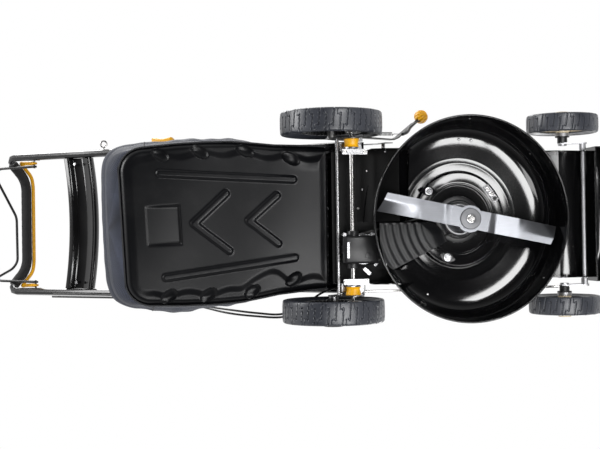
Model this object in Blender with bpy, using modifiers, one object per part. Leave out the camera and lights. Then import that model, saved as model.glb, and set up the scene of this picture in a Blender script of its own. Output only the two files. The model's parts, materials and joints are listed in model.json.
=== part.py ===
"""Self-propelled petrol lawn mower, as an assembly of separate pieces.

Metres, +Z up, +X forward, +Y to the operator's left. The pieces are placed in the mower's own
frame, whose origin lies on the ground under the blade's axis (X) and on the wheels' middle line
(Y). One empty shifts that frame so that the world's origin is the middle of the whole mower.
"""
import math

import bmesh
import bpy
from mathutils import Matrix, Vector

# Clearances
GAP = 0.0003                # between pieces that touch
RUNNING_GAP = 0.0006        # between a shaft and what it turns in

# Wheels
REAR_RADIUS = 0.127
REAR_WIDTH = 0.058
REAR_WHEEL_STANDOFF = 0.0355    # from the tunnel's side to a rear tyre's inner side
FRONT_RADIUS = 0.089
FRONT_WIDTH = 0.046
FRONT_WHEEL_STANDOFF = 0.046    # from the front box's side to a front tyre's inner side
TYRE_SIDES = 24
STUB_RADIUS = 0.0065
HUB_PROUD = 0.010           # rear hub, beyond the tyre's outer side

# Height adjuster: each axle hangs on arms that trail behind a pivot fixed to the deck
ARM_REACH = 0.0485          # from a pivot back to its wheels' centre
ARM_RISE = 0.012            # from a pivot up to its wheels' centre, at the lowest cut
REAR_PIVOT_X = -0.280
FRONT_PIVOT_X = 0.306
ARM_THICKNESS = 0.0035
REAR_ARM_STANDOFF = 0.0295  # from the tunnel's side to the rear arms' outer face
FRONT_ARM_STANDOFF = 0.0225 # from the front box's side to the front arms' outer face
FRONT_ROD_RADIUS = 0.0055
CROSS_ROD_RADIUS = 0.0048
CROSS_ROD_BACK = 0.030      # cross rod, behind and above the rear pivot
CROSS_ROD_UP = 0.035
LINK_ARM_AHEAD = 0.0338     # link pins, ahead of and above the pivots
LINK_ARM_UP = 0.0725
LINK_RADIUS = 0.0033
LINK_EYE_THICKNESS = 0.0044
LINK_PIN_RADIUS = 0.003
LEVER_KNOB_X = -0.055
LEVER_KNOB_Z = 0.270
LEVER_KNOB_OUT = 0.062      # from the rear arm's outer face
KNOB_RADIUS = 0.0165
LEVER_THICKNESS = 0.003
QUADRANT_RADIUS = 0.118

# Wheel drive
GEAR_MODULE = 0.003125
PINION_TEETH = 8
RING_TEETH = 40
RING_ADDENDUM = 0.0016
TOOTH_BACKLASH = 0.0005
GEAR_WIDTH = 0.009
DRIVE_RADIUS = 0.006
BUSH_RADIUS = 0.019         # flanges of the shaft's bushes
BUSH_HUB_RADIUS = 0.015     # on which a rear arm turns
BUSH_SEAT_RADIUS = 0.012    # in the deck's bracket
GEARBOX_X = -0.250
GEARBOX_Y = 0.081
GEARBOX_PULLEY_RADIUS = 0.036
CRANK_PULLEY_RADIUS = 0.026
BELT_Z = 0.139
BELT_SECTION = 0.0085

# Deck
BLADE_Y = 0.009             # the blade's axis lies left of the wheels' middle line
BLADE_Z = 0.042
BLADE_LENGTH = 0.456
BLADE_WIDTH = 0.048
BLADE_THICKNESS = 0.0035
BLADE_YAW = math.radians(11.46)
DECK_HALF_WIDTH = 0.2515
DECK_HALF_LENGTH = 0.243
RIM_Z = 0.024
ROOF_Z = 0.150
SHEET = 0.0022
ENGINE_HOLE_RADIUS = 0.060
FRONT_BOX_HALF = 0.158
FRONT_BOX_END = 0.326
TUNNEL_HALF = 0.167
TUNNEL_TOP_Z = 0.306
TUNNEL_FLOOR_Z = 0.168
TUNNEL_END_X = -0.322
RAMP_EDGE_Y = 0.012         # left edge of the tunnel's ramp, where its web stands
BAFFLE_SHEET = 0.0025
BUMPER_DEPTH = 0.050

# Engine
ENGINE_BASE_RADIUS = 0.088
CRANKCASE_RADIUS = 0.076
CRANKCASE_TOP_Z = 0.236
CYLINDER_Z = 0.207          # the cylinder's middle line
CYLINDER_END_X = 0.200
SHAFT_RADIUS = 0.0125
SHAFT_SIDES = 16
FLYWHEEL_RADIUS = 0.084
FLYWHEEL_Z = 0.254
COVER_RADIUS = 0.104
COVER_LOW_Z = 0.244
COVER_TOP_Z = 0.304
NOSE_END_X = 0.196          # front of the cover's nose
NOSE_HALF = 0.056
RECOIL_RADIUS = 0.074
RECOIL_TOP_Z = 0.338

# Handle
TUBE_RADIUS = 0.011
TUBE_SIDES = 2              # bevel resolution of the handle's tubes
TUBE_STANDOFF = 0.006       # from the tunnel's side to a lower handle tube
FOLD_CLEARANCE = 0.001      # between an upper and a lower tube where they fold
FOLD_X = -0.705
FOLD_Z = 0.626
UPPER_SLOPE = math.radians(34.76)
LOWER_END_X = -0.283
LOWER_END_Z = 0.225
HANDLE_CORNER_X = -1.200
GRIP_X = -1.150
GRIP_Z = 1.030
GRIP_HALF = 0.122
GRIP_RADIUS = 0.0155
CONSOLE_REAR_X = -1.0175
CONSOLE_DEPTH = 0.083
CONSOLE_BOW = 0.015
BAIL_PIVOT_X = -1.128
BAIL_PIVOT_LIFT = 0.021     # above the tube's middle line, square to it
OPC_RADIUS = 0.0055
DRIVE_BAIL_RADIUS = 0.004
DRIVE_BAIL_REAR_X = -1.243
CAM_BOLT_RADIUS = 0.004
GUIDE_RADIUS = 0.003        # wire of the starter rope's guide
GUIDE_LOOP = 0.011

# Bag and flap
HINGE_X = -0.318
HINGE_Z = 0.318
HINGE_RADIUS = 0.004
HOOK_Y = 0.110              # inner side of the bag's hooks on the hinge rod
HOOK_WIDTH = 0.008
FLAP_START_X = -0.345
FLAP_LENGTH = 0.125
BAG_FRONT_X = -0.332
BAG_REAR_X = -0.872
LID_FRONT_X = -0.3345
BAG_BASE_FRONT_Z = 0.170
BAG_BASE_REAR_Z = 0.206
BAG_SHELL = 0.003
TRAY_OVERHANG = 0.017       # of the bag's base beyond the tunnel's sides
TRAY_RIM = 0.030
BAG_TOP_Z = 0.425
BAG_TAPER = 0.165           # share of its width that the bag loses from the tray to the lid
BAG_LEAN = 0.021            # forward lean of its rear wall at the lid

# Cables
CABLE_RADIUS = 0.0028
CABLE_POINTS = 76

# The mower's own frame in the world: the blade's axis stands ahead of the whole mower's middle
REAR_TRACK = 2 * (TUNNEL_HALF + REAR_WHEEL_STANDOFF) + REAR_WIDTH
FRONT_TRACK = 2 * (FRONT_BOX_HALF + FRONT_WHEEL_STANDOFF) + FRONT_WIDTH
REAR_ARM_Y = TUNNEL_HALF + REAR_ARM_STANDOFF
FRONT_ARM_Y = FRONT_BOX_HALF + FRONT_ARM_STANDOFF
LEVER_KNOB = (LEVER_KNOB_X, -(REAR_ARM_Y + LEVER_KNOB_OUT), LEVER_KNOB_Z)
WING_END_Y = TUNNEL_HALF + 0.0215
LOWER_Y = TUNNEL_HALF + TUBE_STANDOFF + TUBE_RADIUS
UPPER_Y = LOWER_Y + 2 * TUBE_RADIUS + FOLD_CLEARANCE
TRAY_HALF = TUNNEL_HALF + TRAY_OVERHANG
FRONT_REACH = FRONT_BOX_END + BUMPER_DEPTH
REAR_REACH = -DRIVE_BAIL_REAR_X + DRIVE_BAIL_RADIUS
LEFT_REACH = REAR_TRACK / 2 + REAR_WIDTH / 2 + HUB_PROUD
RIGHT_REACH = -LEVER_KNOB[1] + KNOB_RADIUS
FRAME_SHIFT = Vector(((REAR_REACH - FRONT_REACH) / 2, (RIGHT_REACH - LEFT_REACH) / 2, 0.0))

REAR_PIVOT_Z = REAR_RADIUS - ARM_RISE
FRONT_PIVOT_Z = FRONT_RADIUS - ARM_RISE
REAR_WHEEL_X = REAR_PIVOT_X - ARM_REACH
TUBE_FLAT = TUBE_RADIUS * math.cos(math.pi / (2 * TUBE_SIDES + 4))
FRONT_WHEEL_X = FRONT_PIVOT_X - ARM_REACH

PIECES = None
CUTTERS = None
ROOT = None
PIVOTS = {}
MATERIALS = {}


# Scene and materials

def clear_scene():
    for obj in list(bpy.data.objects):
        bpy.data.objects.remove(obj, do_unlink=True)


def new_collection(name):
    collection = bpy.data.collections.new(name)
    bpy.context.scene.collection.children.link(collection)
    return collection


def material(name, colour, roughness=0.5, metallic=0.0):
    """A Principled material, made once for each name."""
    if name not in MATERIALS:
        mat = bpy.data.materials.new(name)
        mat.use_nodes = True
        shader = mat.node_tree.nodes["Principled BSDF"]
        shader.inputs["Base Color"].default_value = (*colour, 1.0)
        shader.inputs["Roughness"].default_value = roughness
        shader.inputs["Metallic"].default_value = metallic
        mat.diffuse_color = (*colour, 1.0)
        MATERIALS[name] = mat
    return MATERIALS[name]


def define_materials():
    material("deck_paint", (0.012, 0.012, 0.013), 0.18)
    material("black_plastic", (0.020, 0.020, 0.022), 0.45)
    material("gloss_plastic", (0.015, 0.015, 0.017), 0.22)
    material("tread_rubber", (0.045, 0.050, 0.060), 0.65)
    material("cream_plastic", (0.62, 0.60, 0.54), 0.45)
    material("yellow_plastic", (0.90, 0.48, 0.03), 0.35)
    material("zinc", (0.62, 0.63, 0.65), 0.30, 1.0)
    material("bright_steel", (0.70, 0.70, 0.71), 0.22, 1.0)
    material("blade_steel", (0.42, 0.43, 0.45), 0.35, 1.0)
    material("cast_aluminium", (0.50, 0.50, 0.50), 0.45, 1.0)
    material("black_tube", (0.014, 0.014, 0.015), 0.30)
    material("foam", (0.020, 0.020, 0.020), 0.85)
    material("bag_cloth", (0.030, 0.032, 0.034), 0.90)
    material("belt_rubber", (0.015, 0.015, 0.015), 0.70)
    material("wire_black", (0.010, 0.010, 0.010), 0.35)


# Building blocks

def add_object(name, data):
    """Links a new object that holds data, in the mower's frame."""
    obj = bpy.data.objects.new(name, data)
    PIECES.objects.link(obj)
    obj.parent = ROOT
    return obj


def finished_mesh(obj):
    """The evaluated mesh of an object, with loose caps welded."""
    depsgraph = bpy.context.evaluated_depsgraph_get()
    mesh = bpy.data.meshes.new_from_object(obj.evaluated_get(depsgraph))
    bm = bmesh.new()
    bm.from_mesh(mesh)
    bmesh.ops.remove_doubles(bm, verts=bm.verts, dist=1e-6)
    bm.to_mesh(mesh)
    bm.free()
    mesh.materials.clear()
    return mesh


def bake(obj, outward=False):
    """Turns an object with modifiers, or a curve, into a plain mesh object."""
    mesh = finished_mesh(obj)
    if outward:
        bm = bmesh.new()
        bm.from_mesh(mesh)
        bmesh.ops.recalc_face_normals(bm, faces=bm.faces)
        bm.to_mesh(mesh)
        bm.free()
    name = obj.name
    bpy.data.objects.remove(obj, do_unlink=True)
    return add_object(name, mesh)


def mesh_object(name, bm):
    mesh = bpy.data.meshes.new(name)
    bm.to_mesh(mesh)
    bm.free()
    return add_object(name, mesh)


def box(name, low, high, bevel=0.0, segments=2):
    """A box between two corners, with rounded edges if bevel is given."""
    low, high = Vector(low), Vector(high)
    bm = bmesh.new()
    bmesh.ops.create_cube(bm, size=1.0)
    bmesh.ops.scale(bm, vec=high - low, verts=bm.verts)
    bmesh.ops.translate(bm, vec=(low + high) / 2, verts=bm.verts)
    obj = mesh_object(name, bm)
    if bevel > 0:
        mod = obj.modifiers.new("rounded", "BEVEL")
        mod.width = bevel
        mod.segments = segments
        mod.limit_method = "ANGLE"
        obj = bake(obj)
    return obj


def turn_to(direction):
    """A rotation that takes +Z to a direction."""
    return Vector(direction).to_track_quat("Z", "Y").to_matrix().to_4x4()


def cylinder(name, start, end, radius, sides=20, end_radius=None):
    """A cylinder or cone between two points."""
    start, end = Vector(start), Vector(end)
    bm = bmesh.new()
    turn = Matrix.Translation((start + end) / 2) @ turn_to(end - start)
    spin = Matrix.Rotation(math.pi / sides, 4, "Z")
    bmesh.ops.create_cone(bm, cap_ends=True, segments=sides, radius1=radius,
                          radius2=radius if end_radius is None else end_radius,
                          depth=(end - start).length, matrix=turn @ spin)
    return mesh_object(name, bm)


def sphere(name, centre, radius, rings, sides):
    bm = bmesh.new()
    bmesh.ops.create_uvsphere(bm, u_segments=sides, v_segments=rings, radius=radius)
    bmesh.ops.translate(bm, vec=centre, verts=bm.verts)
    return mesh_object(name, bm)


def revolve(name, profile, centre, axis=(0, 0, 1), steps=32, closed=True, spin=0.0):
    """Turns a profile of (radius, height) points round an axis through a centre."""
    mesh = bpy.data.meshes.new(name)
    edges = [(i, i + 1) for i in range(len(profile) - 1)]
    if closed:
        edges.append((len(profile) - 1, 0))
    mesh.from_pydata([(r, 0.0, z) for r, z in profile], edges, [])
    obj = add_object(name, mesh)
    mod = obj.modifiers.new("turned", "SCREW")
    mod.axis = "Z"
    mod.steps = steps
    mod.render_steps = steps
    mod.use_merge_vertices = True
    mod.merge_threshold = 1e-5
    obj = bake(obj, outward=closed)
    turn = Matrix.Translation(centre) @ turn_to(axis) @ Matrix.Rotation(spin, 4, "Z")
    obj.data.transform(turn)
    return obj


def plate(name, outlines, low, high, plane="XZ"):
    """A flat plate: outlines in a plane, the outer one first, then holes, and its two faces."""
    curve = bpy.data.curves.new(name, "CURVE")
    curve.dimensions = "2D"
    curve.fill_mode = "BOTH"
    curve.extrude = abs(high - low) / 2
    for outline in outlines:
        spline = curve.splines.new("POLY")
        spline.points.add(len(outline) - 1)
        for point, (u, v) in zip(spline.points, outline):
            point.co = (u, v, 0.0, 1.0)
        spline.use_cyclic_u = True
    obj = bake(add_object(name, curve), outward=True)
    middle = (low + high) / 2
    if plane == "XZ":
        obj.data.transform(Matrix(((1, 0, 0, 0), (0, 0, -1, middle), (0, 1, 0, 0), (0, 0, 0, 1))))
    elif plane == "YZ":
        obj.data.transform(Matrix(((0, 0, 1, middle), (1, 0, 0, 0), (0, 1, 0, 0), (0, 0, 0, 1))))
    else:
        obj.data.transform(Matrix.Translation((0, 0, middle)))
    return obj


def bent_sheet(name, profile, y_low, y_high, thickness=SHEET, offset=-1.0):
    """A sheet bent along a profile of (x, z) points and running between two Y values."""
    verts = [(x, y, z) for x, z in profile for y in (y_low, y_high)]
    faces = [(2 * i, 2 * i + 1, 2 * i + 3, 2 * i + 2) for i in range(len(profile) - 1)]
    mesh = bpy.data.meshes.new(name)
    mesh.from_pydata(verts, [], faces)
    obj = add_object(name, mesh)
    mod = obj.modifiers.new("wall", "SOLIDIFY")
    mod.thickness = thickness
    mod.offset = offset
    mod.use_even_offset = True
    return bake(obj, outward=True)


def arc(centre, radius, start, end, count):
    """Points along a circle's arc, in degrees."""
    points = []
    for i in range(count):
        angle = math.radians(start + (end - start) * i / (count - 1))
        points.append((centre[0] + radius * math.cos(angle), centre[1] + radius * math.sin(angle)))
    return points


def circle(centre, radius, count=16):
    return [(centre[0] + radius * math.cos(2 * math.pi * i / count),
             centre[1] + radius * math.sin(2 * math.pi * i / count)) for i in range(count)]


def rounded_path(points, radius, steps=5):
    """A path through points, with each inner corner turned into an arc."""
    points = [Vector(p) for p in points]
    path = [points[0]]
    for before, corner, after in zip(points, points[1:], points[2:]):
        to_before = (before - corner).normalized()
        to_after = (after - corner).normalized()
        half = to_before.angle(to_after) / 2
        reach = radius / math.tan(half)
        middle = corner + (to_before + to_after).normalized() * radius / math.sin(half)
        first = corner + to_before * reach - middle
        last = corner + to_after * reach - middle
        for i in range(steps + 1):
            path.append(middle + first.normalized().slerp(last.normalized(), i / steps) * radius)
    path.append(points[-1])
    return path


def smooth_path(points, count):
    """Points read from one smooth curve (Catmull-Rom) through the route's own points."""
    points = [Vector(p) for p in points]
    ends = [2 * points[0] - points[1]] + points + [2 * points[-1] - points[-2]]
    path = []
    spans = len(points) - 1
    for i in range(count):
        place = spans * i / (count - 1)
        k = min(int(place), spans - 1)
        t = place - k
        a, b, c, d = ends[k:k + 4]
        path.append(0.5 * ((2 * b) + (c - a) * t + (2 * a - 5 * b + 4 * c - d) * t * t
                           + (3 * b - a - 3 * c + d) * t ** 3))
    return path


def tube(name, path, radius, resolution=2, closed=False):
    """A round tube or wire along a path, with filled ends."""
    curve = bpy.data.curves.new(name, "CURVE")
    curve.dimensions = "3D"
    curve.bevel_depth = radius
    curve.bevel_resolution = resolution
    curve.use_fill_caps = True
    spline = curve.splines.new("POLY")
    spline.points.add(len(path) - 1)
    for point, place in zip(spline.points, path):
        point.co = (*place, 1.0)
    spline.use_cyclic_u = closed
    return bake(add_object(name, curve), outward=True)


def loft(name, rings):
    """A closed solid through rings of equal numbers of points, with flat ends."""
    count = len(rings[0])
    bm = bmesh.new()
    verts = [[bm.verts.new(p) for p in ring] for ring in rings]
    for lower, upper in zip(verts, verts[1:]):
        for i in range(count):
            j = (i + 1) % count
            bm.faces.new((lower[i], lower[j], upper[j], upper[i]))
    bm.faces.new(verts[0])
    bm.faces.new(verts[-1])
    bmesh.ops.recalc_face_normals(bm, faces=bm.faces)
    return mesh_object(name, bm)


def rounded_rectangle(half_u, half_v, radius, steps=3):
    """Corner arcs of a rectangle, as (u, v) points."""
    points = []
    for cu, cv, start in ((half_u, half_v, 0), (-half_u, half_v, 90), (-half_u, -half_v, 180),
                          (half_u, -half_v, 270)):
        centre = (cu - math.copysign(radius, cu), cv - math.copysign(radius, cv))
        points += arc(centre, radius, start, start + 90, steps + 1)
    return points


def hide_helper(obj):
    for collection in list(obj.users_collection):
        collection.objects.unlink(obj)
    CUTTERS.objects.link(obj)
    obj.hide_render = True
    obj.display_type = "WIRE"


def combine(target, helpers, operation):
    for helper in helpers:
        mod = target.modifiers.new(operation.lower(), "BOOLEAN")
        mod.operation = operation
        mod.solver = "EXACT"
        mod.object = helper
        hide_helper(helper)
    return target


def join(target, *helpers):
    return combine(target, helpers, "UNION")


def cut(target, *helpers):
    return combine(target, helpers, "DIFFERENCE")


def mirrored(obj, name):
    """The left-hand or right-hand twin of a piece, mirrored in the mower's middle plane."""
    mesh = finished_mesh(obj)
    bm = bmesh.new()
    bm.from_mesh(mesh)
    bmesh.ops.scale(bm, vec=(1, -1, 1), verts=bm.verts)
    bmesh.ops.reverse_faces(bm, faces=bm.faces)
    bm.to_mesh(mesh)
    bm.free()
    return add_object(name, mesh)


def body(name, pivot, parent=None):
    """An empty on a joint's axis. The pieces of one moving body hang on it."""
    empty = bpy.data.objects.new(name, None)
    empty.empty_display_size = 0.02
    PIECES.objects.link(empty)
    empty.parent = parent or ROOT
    PIVOTS[name] = Vector(pivot)
    above = PIVOTS[parent.name] if parent else Vector((0, 0, 0))
    empty.location = PIVOTS[name] - above
    return empty


def place(obj, mat, on=None, smooth=35):
    """Gives a piece its finish and hangs it on its body, with its origin on the joint's axis."""
    obj.data.materials.clear()
    obj.data.materials.append(MATERIALS[mat])
    obj.data.shade_smooth()
    obj.data.set_sharp_from_angle(angle=math.radians(smooth))
    if on is not None:
        obj.data.transform(Matrix.Translation(-PIVOTS[on.name]))
        obj.parent = on
    return obj


# Wheels

def tyre(name, x, z, side, track, radius, width, bore):
    """A solid rubber tyre, its crown slightly round and its shoulders rounded."""
    half = width / 2
    profile = [(bore, half * 0.62), (radius - 0.007, half), (radius, half * 0.70),
               (radius, -half * 0.70), (radius - 0.007, -half), (bore, -half * 0.62)]
    flat = radius / math.cos(math.pi / TYRE_SIDES)
    profile = [(r * flat / radius, h) for r, h in profile]
    return revolve(name, profile, (x, side * track / 2, z), (0, 1, 0), TYRE_SIDES,
                   spin=math.pi / TYRE_SIDES)


def rear_rim(name, side):
    """A rim with a dished web, a hub and the internal ring gear of the wheel drive."""
    bore = rim_bore(REAR_RADIUS)
    flat = bore / math.cos(math.pi / TYRE_SIDES)
    h = REAR_WIDTH / 2
    hub = 0.020
    out = h + HUB_PROUD
    axle = STUB_RADIUS + RUNNING_GAP
    profile = [(bore - GAP, h * 0.60), (0.084, h * 0.30), (0.034, h * 0.42), (hub + 0.004, out),
               (axle, out), (axle, -h * 0.55), (hub, -h * 0.55),
               (hub, h * 0.24), (0.084, h * 0.13), (bore - 0.004, -h * 0.55), (bore - GAP, -h * 0.55)]
    scale = flat / bore
    profile = [(r * scale if r > 0.09 else r, z) for r, z in profile]
    centre = Vector((REAR_WHEEL_X, side * REAR_TRACK / 2, REAR_RADIUS))
    rim = revolve(name, profile, centre, (0, side, 0), TYRE_SIDES, spin=math.pi / TYRE_SIDES)
    ends = sorted((side * (REAR_TRACK / 2 - h * 0.80 + 0.0005), side * (REAR_TRACK / 2 + h * 0.21)))
    ring = plate(name + "_ring", [circle((0, 0), 0.074, TYRE_SIDES), ring_outline()], *ends)
    ring.data.transform(Matrix.Translation((centre.x, 0, centre.z)))
    return join(rim, ring)


def front_rim(name, side):
    """A rim with a dished web and a long hub."""
    bore = rim_bore(FRONT_RADIUS)
    flat = bore / math.cos(math.pi / TYRE_SIDES)
    h = FRONT_WIDTH / 2
    hub = 0.016
    scale = flat / bore
    axle = STUB_RADIUS + RUNNING_GAP
    profile = [(bore - GAP, h * 0.62), (bore - 0.008, h * 0.34), (hub + 0.004, h * 0.60), (hub, h + 0.008),
               (axle, h + 0.008), (axle, -h * 0.95), (hub, -h * 0.95), (hub + 0.005, -h * 0.10),
               (bore - 0.008, h * 0.06), (bore - GAP, -h * 0.62)]
    profile = [(r * scale if r > 0.045 else r, z) for r, z in profile]
    centre = Vector((FRONT_WHEEL_X, side * FRONT_TRACK / 2, FRONT_RADIUS))
    return revolve(name, profile, centre, (0, side, 0), TYRE_SIDES, spin=math.pi / TYRE_SIDES)


def rim_bore(radius):
    """The radius at which a tyre sits on its rim."""
    return radius - 0.024


def involute(base, radius):
    """Angle that an involute has turned when it reaches a radius."""
    if radius <= base:
        return 0.0
    swing = math.sqrt((radius / base) ** 2 - 1)
    return swing - math.atan(swing)


def gear_flank(teeth, radii):
    """Half the angle of a tooth's thickness, at each radius, for a 20 degree involute gear."""
    pitch = teeth * GEAR_MODULE / 2
    base = pitch * math.cos(math.radians(20))
    half = math.pi / (2 * teeth)
    return [half + involute(base, pitch) - involute(base, r) for r in radii]


def pinion_outline():
    """The drive pinion's teeth, one tooth pointing straight back, thinned by the backlash."""
    pitch = PINION_TEETH * GEAR_MODULE / 2
    radii = [pitch - 1.05 * GEAR_MODULE, pitch, pitch + 0.90 * GEAR_MODULE]
    halves = [a - TOOTH_BACKLASH / 2 / r for a, r in zip(gear_flank(PINION_TEETH, radii), radii)]
    points = []
    for tooth in range(PINION_TEETH):
        middle = math.pi + 2 * math.pi * tooth / PINION_TEETH
        for r, a in zip(radii, halves):
            points.append((r * math.cos(middle - a), r * math.sin(middle - a)))
        for r, a in reversed(list(zip(radii, halves))):
            points.append((r * math.cos(middle + a), r * math.sin(middle + a)))
    return points


def ring_outline():
    """The ring gear's inner edge, with a tooth space where the pinion's tooth points."""
    pitch = RING_TEETH * GEAR_MODULE / 2
    radii = [pitch - RING_ADDENDUM, pitch + 1.25 * GEAR_MODULE]
    halves = [a + TOOTH_BACKLASH / 2 / r for a, r in zip(gear_flank(RING_TEETH, radii), radii)]
    points = []
    lean = math.atan2(ARM_RISE, ARM_REACH)
    for space in range(RING_TEETH):
        middle = -lean + 2 * math.pi * space / RING_TEETH
        for r, a in zip(radii, halves):
            points.append((r * math.cos(middle - a), r * math.sin(middle - a)))
        for r, a in reversed(list(zip(radii, halves))):
            points.append((r * math.cos(middle + a), r * math.sin(middle + a)))
    return points


def make_wheels(rear_carrier, front_carrier):
    for side, word in ((1, "left"), (-1, "right")):
        centre = (REAR_WHEEL_X, side * REAR_TRACK / 2, REAR_RADIUS)
        wheel = body("rear_wheel_" + word, centre, rear_carrier)
        ring = tyre("rear_tyre_" + word, REAR_WHEEL_X, REAR_RADIUS, side, REAR_TRACK, REAR_RADIUS,
                    REAR_WIDTH, rim_bore(REAR_RADIUS))
        place(ring, "tread_rubber", wheel)
        place(rear_rim("rear_rim_" + word, side), "black_plastic", wheel)
        centre = (FRONT_WHEEL_X, side * FRONT_TRACK / 2, FRONT_RADIUS)
        wheel = body("front_wheel_" + word, centre, front_carrier)
        ring = tyre("front_tyre_" + word, FRONT_WHEEL_X, FRONT_RADIUS, side, FRONT_TRACK, FRONT_RADIUS,
                    FRONT_WIDTH, rim_bore(FRONT_RADIUS))
        place(ring, "tread_rubber", wheel)
        place(front_rim("front_rim_" + word, side), "cream_plastic", wheel)


# Height adjuster and wheel drive

def pinion_span(side):
    """The two ends of a drive pinion's teeth, along Y."""
    inner = REAR_TRACK / 2 - REAR_WIDTH / 2 * 0.80
    return side * inner, side * (inner + GEAR_WIDTH)


def make_pinions(rear_carrier):
    for side, word in ((1, "left"), (-1, "right")):
        start, end = pinion_span(side)
        pinion_body = body("pinion_turn_" + word, (REAR_PIVOT_X, start, REAR_PIVOT_Z), rear_carrier)
        lean = math.atan2(ARM_RISE, ARM_REACH)
        outline = [(x * math.cos(-lean) - z * math.sin(-lean), x * math.sin(-lean) + z * math.cos(-lean))
                   for x, z in pinion_outline()]
        low, high = min(start, end), max(start, end)
        gear = plate("drive_pinion_" + word, [outline, circle((0, 0), DRIVE_RADIUS + RUNNING_GAP, 12)],
                     low, high)
        gear.data.transform(Matrix.Translation((REAR_PIVOT_X, 0, REAR_PIVOT_Z)))
        place(gear, "zinc", pinion_body)


def rear_arm_outline():
    """The right rear arm: from the wheel's stub to the cross rod, the pivot and the lever's root."""
    pivot = (REAR_PIVOT_X, REAR_PIVOT_Z)
    wheel = (REAR_WHEEL_X, REAR_RADIUS)
    rod = (REAR_PIVOT_X - CROSS_ROD_BACK, REAR_PIVOT_Z + CROSS_ROD_UP)
    front = (REAR_PIVOT_X + LINK_ARM_AHEAD, REAR_PIVOT_Z + LINK_ARM_UP)
    outline = arc(wheel, 0.014, 150, 270, 4)
    outline += arc(pivot, 0.028, 245, 360, 5)
    outline += arc(front, 0.010, -20, 110, 4)
    outline += arc(rod, 0.011, 70, 150, 3)
    return outline


def make_rear_carrier(carrier):
    """Two arms on the drive shaft's bushes, joined by the cross rod, with the wheels' stubs."""
    hole = circle((REAR_PIVOT_X, REAR_PIVOT_Z), BUSH_HUB_RADIUS + RUNNING_GAP, 16)
    inner = REAR_ARM_Y - ARM_THICKNESS
    arm = plate("arm_left", [rear_arm_outline(), hole], inner, REAR_ARM_Y)
    join(arm, plate("arm_right", [rear_arm_outline(), hole], -REAR_ARM_Y, -inner))
    stub_end = REAR_TRACK / 2 + REAR_WIDTH / 2 + 0.006
    collar_end = REAR_TRACK / 2 - REAR_WIDTH / 2 * 0.55 - GAP
    for side in (1, -1):
        root = (REAR_WHEEL_X, side * (inner + 0.001), REAR_RADIUS)
        stub = cylinder("stub", root, (REAR_WHEEL_X, side * stub_end, REAR_RADIUS), STUB_RADIUS, 14)
        collar = cylinder("stub_collar", root, (REAR_WHEEL_X, side * collar_end, REAR_RADIUS), 0.0125, 14)
        join(arm, stub, collar)
    reach = Vector((0, REAR_ARM_Y - 0.001, 0))
    rod = Vector((REAR_PIVOT_X - CROSS_ROD_BACK, 0, REAR_PIVOT_Z + CROSS_ROD_UP))
    join(arm, cylinder("cross_rod", rod - reach, rod + reach, CROSS_ROD_RADIUS, 10))
    pin = Vector((REAR_PIVOT_X + LINK_ARM_AHEAD, inner, REAR_PIVOT_Z + LINK_ARM_UP))
    join(arm, cylinder("link_pin_rear", pin - Vector((0, LINK_EYE_THICKNESS + 0.0016, 0)),
                       pin + Vector((0, 0.001, 0)), LINK_PIN_RADIUS, 8))
    arm.name = "rear_axle_carrier"
    place(arm, "zinc", carrier)


def make_height_lever(carrier):
    """A flat steel lever on the right arm, bent outwards to its ball knob."""
    pivot = Vector((REAR_PIVOT_X, 0, REAR_PIVOT_Z))
    knob = Vector(LEVER_KNOB)
    along = Vector((knob.x - pivot.x, 0, knob.z - pivot.z))
    along.normalize()
    across = Vector((-along.z, 0, along.x))
    flat_y = -(REAR_ARM_Y + GAP + LEVER_THICKNESS / 2)
    route = [(0.022, 0.0, 0.012), (0.036, 0.0, 0.012), (0.150, 0.0, 0.009), (0.168, 0.006, 0.008),
             (0.232, 0.046, 0.006)]
    centres = [pivot + along * s + Vector((0, flat_y - out, 0)) for s, out, half in route]
    back = (centres[-1] - knob).normalized()
    centres.append(knob + back * KNOB_RADIUS * 0.6)
    halves = [half for s, out, half in route] + [0.0035]
    rings = []
    for i, centre in enumerate(centres):
        run = (centres[min(i + 1, len(centres) - 1)] - centres[max(i - 1, 0)]).normalized()
        thick = run.cross(across).normalized() * LEVER_THICKNESS / 2
        wide = across * halves[i]
        rings.append([tuple(centre + wide * a + thick * b) for a, b in ((-1, -1), (1, -1), (1, 1), (-1, 1))])
    place(loft("height_lever", rings), "wire_black", carrier)
    ball = sphere("lever_knob", knob, KNOB_RADIUS, 8, 12)
    socket = cylinder("knob_socket", knob + back * KNOB_RADIUS * 1.3, knob + back * KNOB_RADIUS * 0.5,
                      0.0046, 10)
    place(cut(ball, socket), "yellow_plastic", carrier)


def make_link(rear_carrier):
    """The link rod between the two carriers, with a flat eye at each end."""
    half = Vector((0, LINK_EYE_THICKNESS / 2, 0))
    y = REAR_ARM_Y - ARM_THICKNESS - GAP - half.y
    rear = Vector((REAR_PIVOT_X + LINK_ARM_AHEAD, y, REAR_PIVOT_Z + LINK_ARM_UP))
    front_y = FRONT_ARM_Y + half.y + GAP
    front = Vector((FRONT_PIVOT_X + LINK_ARM_AHEAD, front_y, FRONT_PIVOT_Z + LINK_ARM_UP))
    link = body("link", rear, rear_carrier)
    run = front - rear
    aside = Vector((0, 0.0014, 0))
    rod = tube("height_link", [rear + run * 0.012 - aside, front - run * 0.012 + aside], LINK_RADIUS, 1)
    for centre in (rear, front):
        join(rod, cylinder("eye", centre - half, centre + half, 0.009, 14))
    for centre in (rear, front):
        cut(rod, cylinder("eye_hole", centre - half * 3, centre + half * 3,
                          LINK_PIN_RADIUS + RUNNING_GAP, 8))
    place(rod, "bright_steel", link)


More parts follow.
